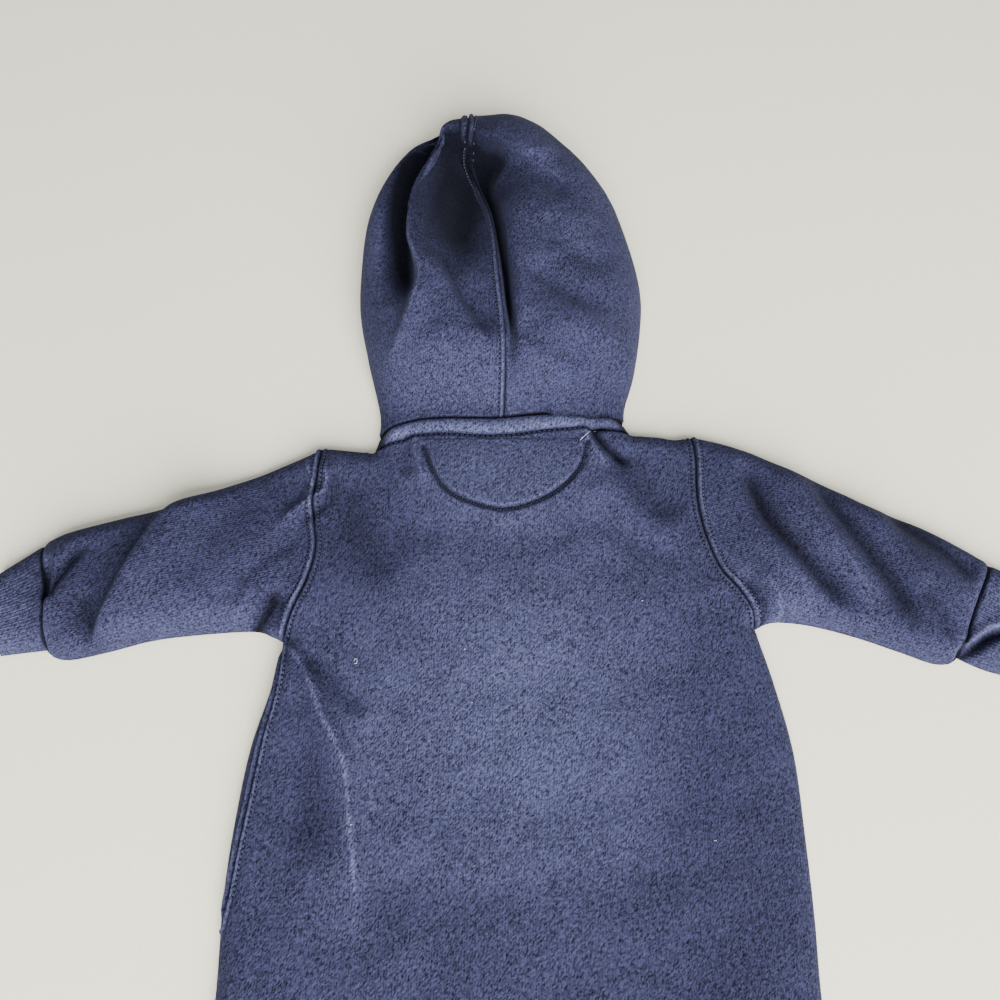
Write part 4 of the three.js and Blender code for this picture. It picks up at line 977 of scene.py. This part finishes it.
def ribbed(side_lines, sleeve_seam):
    """Relief of ribs that run along a cuff: columns of it, by how far across the cuff a point is."""
    low, high = (sampled(line, 30) for line in side_lines)

    def relief(plan):
        a, b = near_line(low, plan)[0], near_line(high, plan)[0]
        across = a / np.maximum(a + b, 1e-6) * (a + b).mean()
        rise = RIB_DEPTH * (np.abs(np.cos(math.pi * across / RIB_PITCH)) - 0.6)
        seam = near_line(sampled(sleeve_seam, 40), plan)[0]
        return rise * smooth(seam / 3) - 1.4 * np.exp(-((seam / 1.0) ** 2))

    return relief


def cuff(side):
    seam = along(CUFF_SEAM[side])
    mouth = straight(CUFF_TOP[side][-1], CUFF_UNDER[side][-1])
    rows = graded(27, 1.2, [(0, 2, 0.5), (27, 0, 0.16)])
    columns = graded(46, 0.34, [(0, 0, 0.15), (46, 0, 0.15)])
    relief = ribbed((CUFF_TOP[side], CUFF_UNDER[side]), CUFF_SEAM[side])
    edges = seam, mouth, along(CUFF_TOP[side]), along(CUFF_UNDER[side])
    return tube(edges, rows, columns, relief, SLEEVE_GRAIN[side], mouth_pinch(rows, 27, RIB))


def ankle_cuff(side):
    outer, inner = along(ANKLE_OUTER[side]), along(ANKLE_INNER[side])
    (a, b), (c, d) = ends_of(outer), ends_of(inner)
    rows = graded(43, 1.8, [(0, 2, 0.8), (43, 0, 0.16)])
    columns = graded(70, 0.42, [(0, 0, 0.15), (70, 0, 0.15)])
    relief = ribbed((ANKLE_OUTER[side], ANKLE_INNER[side]), [a, (a + c) / 2, c])
    return tube((straight(a, c), straight(b, d), outer, inner), rows, columns, relief, 0,
                mouth_pinch(rows, 43, RIB))


# ---- hood ----
# Overhangs, which a height alone can't give: name, push in x and y, reach on the line's left hand and
# right hand, and the line.
HOOD_LEANS = [
    ("left overlap", -8.0, 0.5, 9, 2.6,
     [(-22, 276), (-26, 258), (-30, 240), (-35, 220), (-41, 202), (-45.5, 182), (-46.5, 160), (-46, 138),
      (-47, 118)]),
    ("right side of the valley", -2.5, 0, 7, 2.0,
     [(0, 204), (3, 184), (6, 162), (8, 134), (10, 106), (11, 84)]),
    ("crown bulge", 0.0, -5.0, 12, 3.0, [(-26, 248), (-16, 242), (-7, 236), (3, 229), (14, 221), (24, 213)]),
    ("right of the neck", 0.5, -3.5, 8, 8, [(24, 50), (40, 51), (56, 52), (70, 54)]),
]


def leaned(places):
    plan = places[..., :2].copy()
    for _, dx, dy, near, far, line in HOOD_LEANS:
        points = sampled(line, 30)
        close = within(points, plan, 3 * max(near, far))
        distance, side, share = near_line(points, plan[close])
        ends = smooth(share / 0.2) * smooth((1 - share) / 0.2)
        push = ends * np.exp(-((distance / np.where(side > 0, near, far)) ** 2))
        places[close, :2] += push[:, None] * (dx, dy)
    return places


def run_lengths(places, axis):
    step = np.linalg.norm(np.diff(places, axis=axis), axis=-1)
    pad = [(0, 0), (0, 0)]
    pad[axis] = (1, 0)
    return np.pad(np.cumsum(step, axis=axis), pad)


def hood_turn(side, rim):
    """The outer few centimetres of a hood half, turned under from its rim to the hem on the floor."""
    passed = np.r_[0, np.cumsum(np.linalg.norm(np.diff(rim[:, :2], axis=0), axis=1))]
    hem = along(HOOD_HEM[side])(passed / passed[-1])
    columns = graded(60, 2.8, [(0, 0, 0.5), (60, 2, 0.6)])
    height = rim[:, 2][:, None]
    reach = np.linalg.norm(hem - rim[:, :2], axis=1)[:, None]
    level = columns[None] * reach / (height + 2)
    plan = mix(rim[:, None, :2], hem[:, None], columns[None, :, None])
    pinch = np.repeat((1 - quarter_round((1 - columns) * 50 / (FLEECE / 2)))[None], len(rim), axis=0)
    return face(placed(plan, height * (1 - quarter_round(level))), -1, pinch=pinch)


def hood_side(side):
    crown = backwards(along(HOOD_CROWN[side]))
    edges = along(HOOD_NECK[side]), crown, along(HOOD_SEAM), along(HOOD_SIDE[side])
    rows = graded(225, 1.4, [(0, 3, 0.5), (225, 0, 0.3)], 0.2)
    columns = graded(85, 1.3, [(0, 4.5, 0.4), (85, 0, 0.2)], 0.2)
    plan = patch(edges, rows, columns)
    on_rim = near_line(HOOD_OUTLINE, plan)[0] < ON_THE_EDGE
    upright = placed(plan, np.where(on_rim, hood_edge(plan[..., 1]), hood_top(plan)))
    relief = seam_rise(plan, HOOD_SEAM, HOOD_ON_LEFT if side == "left" else HOOD_ON_RIGHT)
    if side == "right":
        at_crown = coming(plan[..., 1], HOOD_TOP_WELT)
        relief = mix(relief, seam_rise(plan, HOOD_SEAM, HOOD_ON_LEFT), at_crown)
    relief += seam_rise(plan, HOOD_NECK[side], HOOD_ON_NECK)
    outwards = 1 if side == "right" else -1
    wales = np.stack([run_lengths(upright, 1) * outwards, run_lengths(upright, 0)], -1) / 1000
    top = leaned(upright)
    rim = np.concatenate([top[:, -1], top[-1, ::-1][1:]])
    return [face(top, 1, relief, folds_at(HOOD_FOLDS, plan, True), wales), hood_turn(side, rim)]


# ---- neck band ----
def neck_band():
    upper_edge = joined(backwards(along(HOOD_NECK["left"])), 0.5, along(HOOD_NECK["right"]))
    neck = along(BACK_NECK)
    (a, b), (c, d) = ends_of(neck), ends_of(upper_edge)
    rows = np.linspace(0.03, 0.95, 17)
    columns = graded(150, 1.3, [(0, 0, 0.5), (150, 0, 0.5)])
    plan = patch((neck, upper_edge, straight(a, c), straight(b, d)), rows, columns)
    ends = smooth(columns * 12) * smooth((1 - columns) * 12)
    plump = quarter_round(np.minimum(rows, 1 - rows) / 0.5)[:, None] * ends[None]
    puff = 3.6 * plump - 1.6 + 0.3 * ripple(plan, 14, 21) * plump
    faces = [face(placed(plan, body_top(plan)), 1, puff, 0.25 * plump ** 3)]
    for side in SIDES:
        line = along(FRONT_NECK[side])
        corner, hem = HOOD_SIDE[side][0], HOOD_HEM[side][0]
        start, end = ends_of(line)
        edges = line, straight(corner, hem), straight(start, corner), straight(end, hem)
        front = patch(edges, rows, graded(80, 2.4, [(0, 0, 0.5)]))
        faces.append(face(placed(front, body_under(front)), -1))
    return faces


MOON_END = 0.97              # share of each half of the half-moon's curve that the patch runs along
MOON_GAP = 0.9               # from the back's inner face to the facing


def half_moon_facing():
    left, right = along(HALF_MOON[:5]), backwards(along(HALF_MOON[4:]))
    shares = np.linspace(0, 1, 24)
    edges = (straight(left(0.0), right(0.0)), straight(left(MOON_END), right(MOON_END)),
             lambda s: left(np.asarray(s) * MOON_END), lambda s: right(np.asarray(s) * MOON_END))
    plan = patch(edges, shares, shares)
    return [face(placed(plan, body_top(plan) - FLEECE - MOON_GAP), 1)]


# ---- the cloth pieces ----
FINISHES = {"navy_fleece": navy_fleece, "navy_rib": navy_rib, "navy_jersey": navy_jersey}
FRONT_CUT = (0.17, 0.53)
SHELLS = [
    # name, node, faces, thickness, finish, cut (width, length) and its area, in metres
    ("back_cloth", "back_panel", back_panel(), FLEECE, "navy_fleece", (0.30, 0.53), 0.118),
    ("front_left_cloth", "front_left", front_panel("left", True), FLEECE, "navy_fleece", FRONT_CUT, 0.058),
    ("front_right_cloth", "front_right", front_panel("right", False), FLEECE, "navy_fleece", FRONT_CUT,
     0.058),
    ("neck_band_cloth", "neck_band", neck_band(), FLEECE, "navy_fleece", (0.34, 0.012), 0.0035),
    ("half_moon_cloth", "half_moon_facing", half_moon_facing(), FACING, "navy_jersey", (0.09, 0.038), 0.0026),
]
PAIRED = [
    # name, maker of its faces, thickness, finish, cut (width, length) and its area, in metres
    ("hood", hood_side, FLEECE, "navy_fleece", (0.17, 0.26), 0.030),
    ("sleeve", sleeve, FLEECE, "navy_fleece", (0.24, 0.16), 0.024),
    ("cuff", cuff, RIB, "navy_rib", (0.11, 0.03), 0.0026),
    ("ankle_cuff", ankle_cuff, RIB, "navy_rib", (0.15, 0.045), 0.0064),
]
for side in SIDES:
    SHELLS += [(f"{name}_{side}_cloth", f"{name}_{side}", make(side), *rest) for name, make, *rest in PAIRED]
for name, node, faces, thickness, finish, cut, area in SHELLS:
    piece = shell(name, faces, thickness, FINISHES[finish])
    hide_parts(node)
for i in range(len(SNAP_Y)):
    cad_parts[f"snap_{i + 1}"].data.materials.clear()
    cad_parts[f"snap_{i + 1}"].data.materials.append(snap_plastic)


# ---- stitches ----
def tube_quads(rings, sides):
    """Quads between rings of points, for a thread or a fibre."""
    ring, k = np.divmod(np.arange((rings - 1) * sides), sides)
    here, onward = ring * sides, (ring + 1) * sides
    beyond = (k + 1) % sides
    return np.stack([here + k, here + beyond, onward + beyond, onward + k], -1)


THREAD_SIDES = 5
# rings of a stitch: place along it from -1 to 1, and share of its thickness
BOW = np.array([(-1, 0.25), (-0.7, 0.9), (0, 1.0), (0.7, 0.9), (1, 0.25)])
ROUND = np.arange(THREAD_SIDES) * 2 * math.pi / THREAD_SIDES


def capsule(length, radius, arch):
    """A short thread between two needle holes, bowed up in the middle, along its first axis."""
    x, width = BOW[:, 0, None], radius * BOW[:, 1, None]
    rings = [x * length / 2 + 0 * ROUND, width * np.cos(ROUND), width * np.sin(ROUND) + arch * (1 - x * x)]
    return np.stack(rings, -1).reshape(-1, 3)


def laid_on(hosts, plan):
    """The highest places on some pieces of cloth under plan points, with the cloth's normals."""
    trees = [BVHTree.FromPolygons(surfaces[h][0].tolist(), surfaces[h][1].tolist()) for h in hosts]
    down = Vector((0, 0, -1))
    hits = []
    for x, y in plan:
        found = [tree.ray_cast(Vector((x, y, 90)), down) for tree in trees]
        found = [(f[3], f[0], f[1]) for f in found if f[0] is not None]
        if found:
            _, place, normal = min(found, key=lambda f: f[0])
            hits.append((*place, *(-normal if normal.dot(down) > 0 else normal)))
    return np.array(hits)


def beside(points, distance):
    """A plan line moved to its left hand by a distance."""
    step = np.gradient(points, axis=0)
    step /= np.linalg.norm(step, axis=1)[:, None]
    return points + distance * np.stack([-step[:, 1], step[:, 0]], -1)


def evenly(points, pitch):
    passed = np.r_[0, np.cumsum(np.linalg.norm(np.diff(points, axis=0), axis=1))]
    at = np.arange(pitch / 2, passed[-1], pitch)
    return np.stack([np.interp(at, passed, points[:, k]) for k in (0, 1)], -1)


def copies_on(marks, template, lift):
    """A copy of a template at each mark, turned along their line and lifted off the cloth."""
    centre, normal = marks[:, :3], marks[:, 3:]
    run = np.gradient(centre, axis=0)
    run -= (run * normal).sum(1)[:, None] * normal
    run /= np.linalg.norm(run, axis=1)[:, None]
    axes = np.stack([run, np.cross(normal, run), normal], 1)
    return (centre + normal * lift)[:, None] + template @ axes


def joined_piece(name, copies, quads, material):
    """One mesh of many copies, which all have the same quads."""
    starts = np.arange(len(copies)) * copies.shape[1]
    polygons = (starts[:, None, None] + quads).reshape(-1, 4)
    piece = mesh_piece(name, copies.reshape(-1, 3), polygons, material)


THREAD = 0.4                 # half the thickness of the thread, a little heavier than real so that it shows
armhole_lines = {side: sampled(ARMHOLE[side], 120)[2:-1] for side in SIDES}
hood_line = sampled(HOOD_SEAM, 200)
TOPSTITCHING = [
    # name, thread, cloth under it, and rows of it: line, offset to its left hand, pitch, half its thickness
    ("armhole_left", navy_thread, ["sleeve_left_cloth", "back_cloth"],
     [(armhole_lines["left"], -3.0, 2.3, THREAD), (armhole_lines["left"], 2.5, 2.3, 0.9 * THREAD)]),
    ("armhole_right", navy_thread, ["sleeve_right_cloth", "back_cloth"],
     [(armhole_lines["right"], 3.0, 2.3, THREAD), (armhole_lines["right"], -2.5, 2.3, 0.9 * THREAD)]),
    ("neck_band", navy_thread, ["back_cloth", "neck_band_cloth"],
     [(sampled(BACK_NECK, 160)[8:-22], -0.9, 2.9, THREAD)]),
    ("half_moon", half_moon_thread, ["back_cloth"], [(sampled(HALF_MOON, 120)[2:-2], 0.0, 1.7, THREAD)]),
    ("side_seam", navy_thread, ["back_cloth", "front_left_cloth"],
     [(LEFT_SIDE_SEAM[1:-1], 2.8, 2.4, THREAD)]),
    ("hood_seam", navy_thread, ["hood_left_cloth", "hood_right_cloth"],
     [(hood_line[4:-4], 3.0, 2.2, THREAD), (hood_line[168:-6], -3.0, 2.2, THREAD)]),
]
for name, finish, hosts, rows in TOPSTITCHING:
    threads, hole_shades = [], []
    for line, offset, pitch, thread in rows:
        marks = laid_on(hosts, evenly(beside(line, offset), pitch / 2))
        threads.append(copies_on(marks[0::2], capsule(pitch * 0.8, thread, thread * 0.6), thread * 0.1))
        # painted shade: a near-black dot sunk into the cloth at each needle hole between the stitches
        hole_shades.append(copies_on(marks[1::2], capsule(pitch * 0.48, thread * 1.6, 0.05), -thread * 0.2))
    quads = tube_quads(len(BOW), THREAD_SIDES)[:, ::-1]
    joined_piece(f"{name}_stitches_thread", np.concatenate(threads), quads, finish)
    joined_piece(f"{name}_stitches_hole_shades", np.concatenate(hole_shades), quads, needle_hole_shade)


# ---- lint ----
FIBRE_RADIUS = 0.1
FIBRE_LIFT = 0.25
FIBRE_RINGS = 14
LINT = [
    [(44.8, 30.5), (46.5, 32.4), (48.6, 34.2), (50.4, 37)],
    [(-74.6, -94.4), (-74, -93.2), (-73.2, -93.8), (-73.2, -95.6), (-74.2, -96)],
    [(-14.4, -116.4), (-14, -116), (-13.6, -116.3)],
    [(-18.4, -89), (-18, -88.7), (-17.5, -88.9)],
    [(-71, -175.4), (-70.6, -174.9), (-70.2, -175.2)],
    [(102.4, -181.4), (102.8, -181.8), (103.3, -181.5)],
    [(74, -62.9), (74.4, -62.5), (74.8, -62.8)],
]


def fibre(points):
    """A fine loose fibre along a few plan points, just proud of the back."""
    marks = laid_on(["back_cloth"], along(points)(np.linspace(0, 1, FIBRE_RINGS)))
    centre, normal = marks[:, :3] + marks[:, 3:] * FIBRE_LIFT, marks[:, 3:]
    run = np.gradient(centre, axis=0)
    run /= np.linalg.norm(run, axis=1)[:, None]
    across = np.cross(run, normal)
    spokes = np.cos(ROUND)[:, None] * across[:, None] + np.sin(ROUND)[:, None] * normal[:, None]
    return (centre[:, None] + FIBRE_RADIUS * spokes).reshape(-1, 3)


fibres = np.stack([fibre(points) for points in LINT])
joined_piece("lint_fibres", fibres, tube_quads(FIBRE_RINGS, THREAD_SIDES), lint_white)


# ---- surface, light and camera ----
bpy.ops.mesh.primitive_plane_add(size=6, location=(0, 0, -0.0004))
table = bpy.context.object
table.name = "pale_surface"
table.data.materials.append(plain_material("matt_warm_white_surface", "#e6e1ca", 0.9, 0.2))

GARMENT_ZERO = Vector(ORIGIN / 1000)


def softbox(name, place, width, watts, tint):
    """A soft square light above the garment, turned to its middle."""
    bpy.ops.object.light_add(type="AREA", location=GARMENT_ZERO + Vector(place))
    light = bpy.context.object
    light.name = name
    light.data.size = width
    light.data.energy = watts
    light.data.color = linear(tint)[:3]
    light.rotation_euler = (-Vector(place)).to_track_quat("-Z", "Y").to_euler()


softbox("window_softbox", (0.5, -1.8, 1.02), 2.1, 235, "#ffffff")
softbox("overhead_softbox", (-0.2, 0.2, 2.0), 2.4, 16, "#f6f7ff")

world = bpy.data.worlds.new("studio_air")
world.use_nodes = True
world.node_tree.nodes["Background"].inputs["Color"].default_value = linear("#e8ebf2")
world.node_tree.nodes["Background"].inputs["Strength"].default_value = 0.25
bpy.context.scene.world = world

CAMERA_DISTANCE = 0.559      # from the middle of the back, just below the neck
CAMERA_TILT = math.radians(23.5)                 # from straight down
CAMERA_LENS = 36             # as long as the sensor is wide
bpy.ops.object.camera_add(
    location=GARMENT_ZERO + CAMERA_DISTANCE * Vector((0, -math.sin(CAMERA_TILT), math.cos(CAMERA_TILT))),
    rotation=(CAMERA_TILT, 0, 0))
camera = bpy.context.object
camera.data.lens = CAMERA_LENS
camera.data.sensor_width = CAMERA_LENS
bpy.context.scene.camera = camera
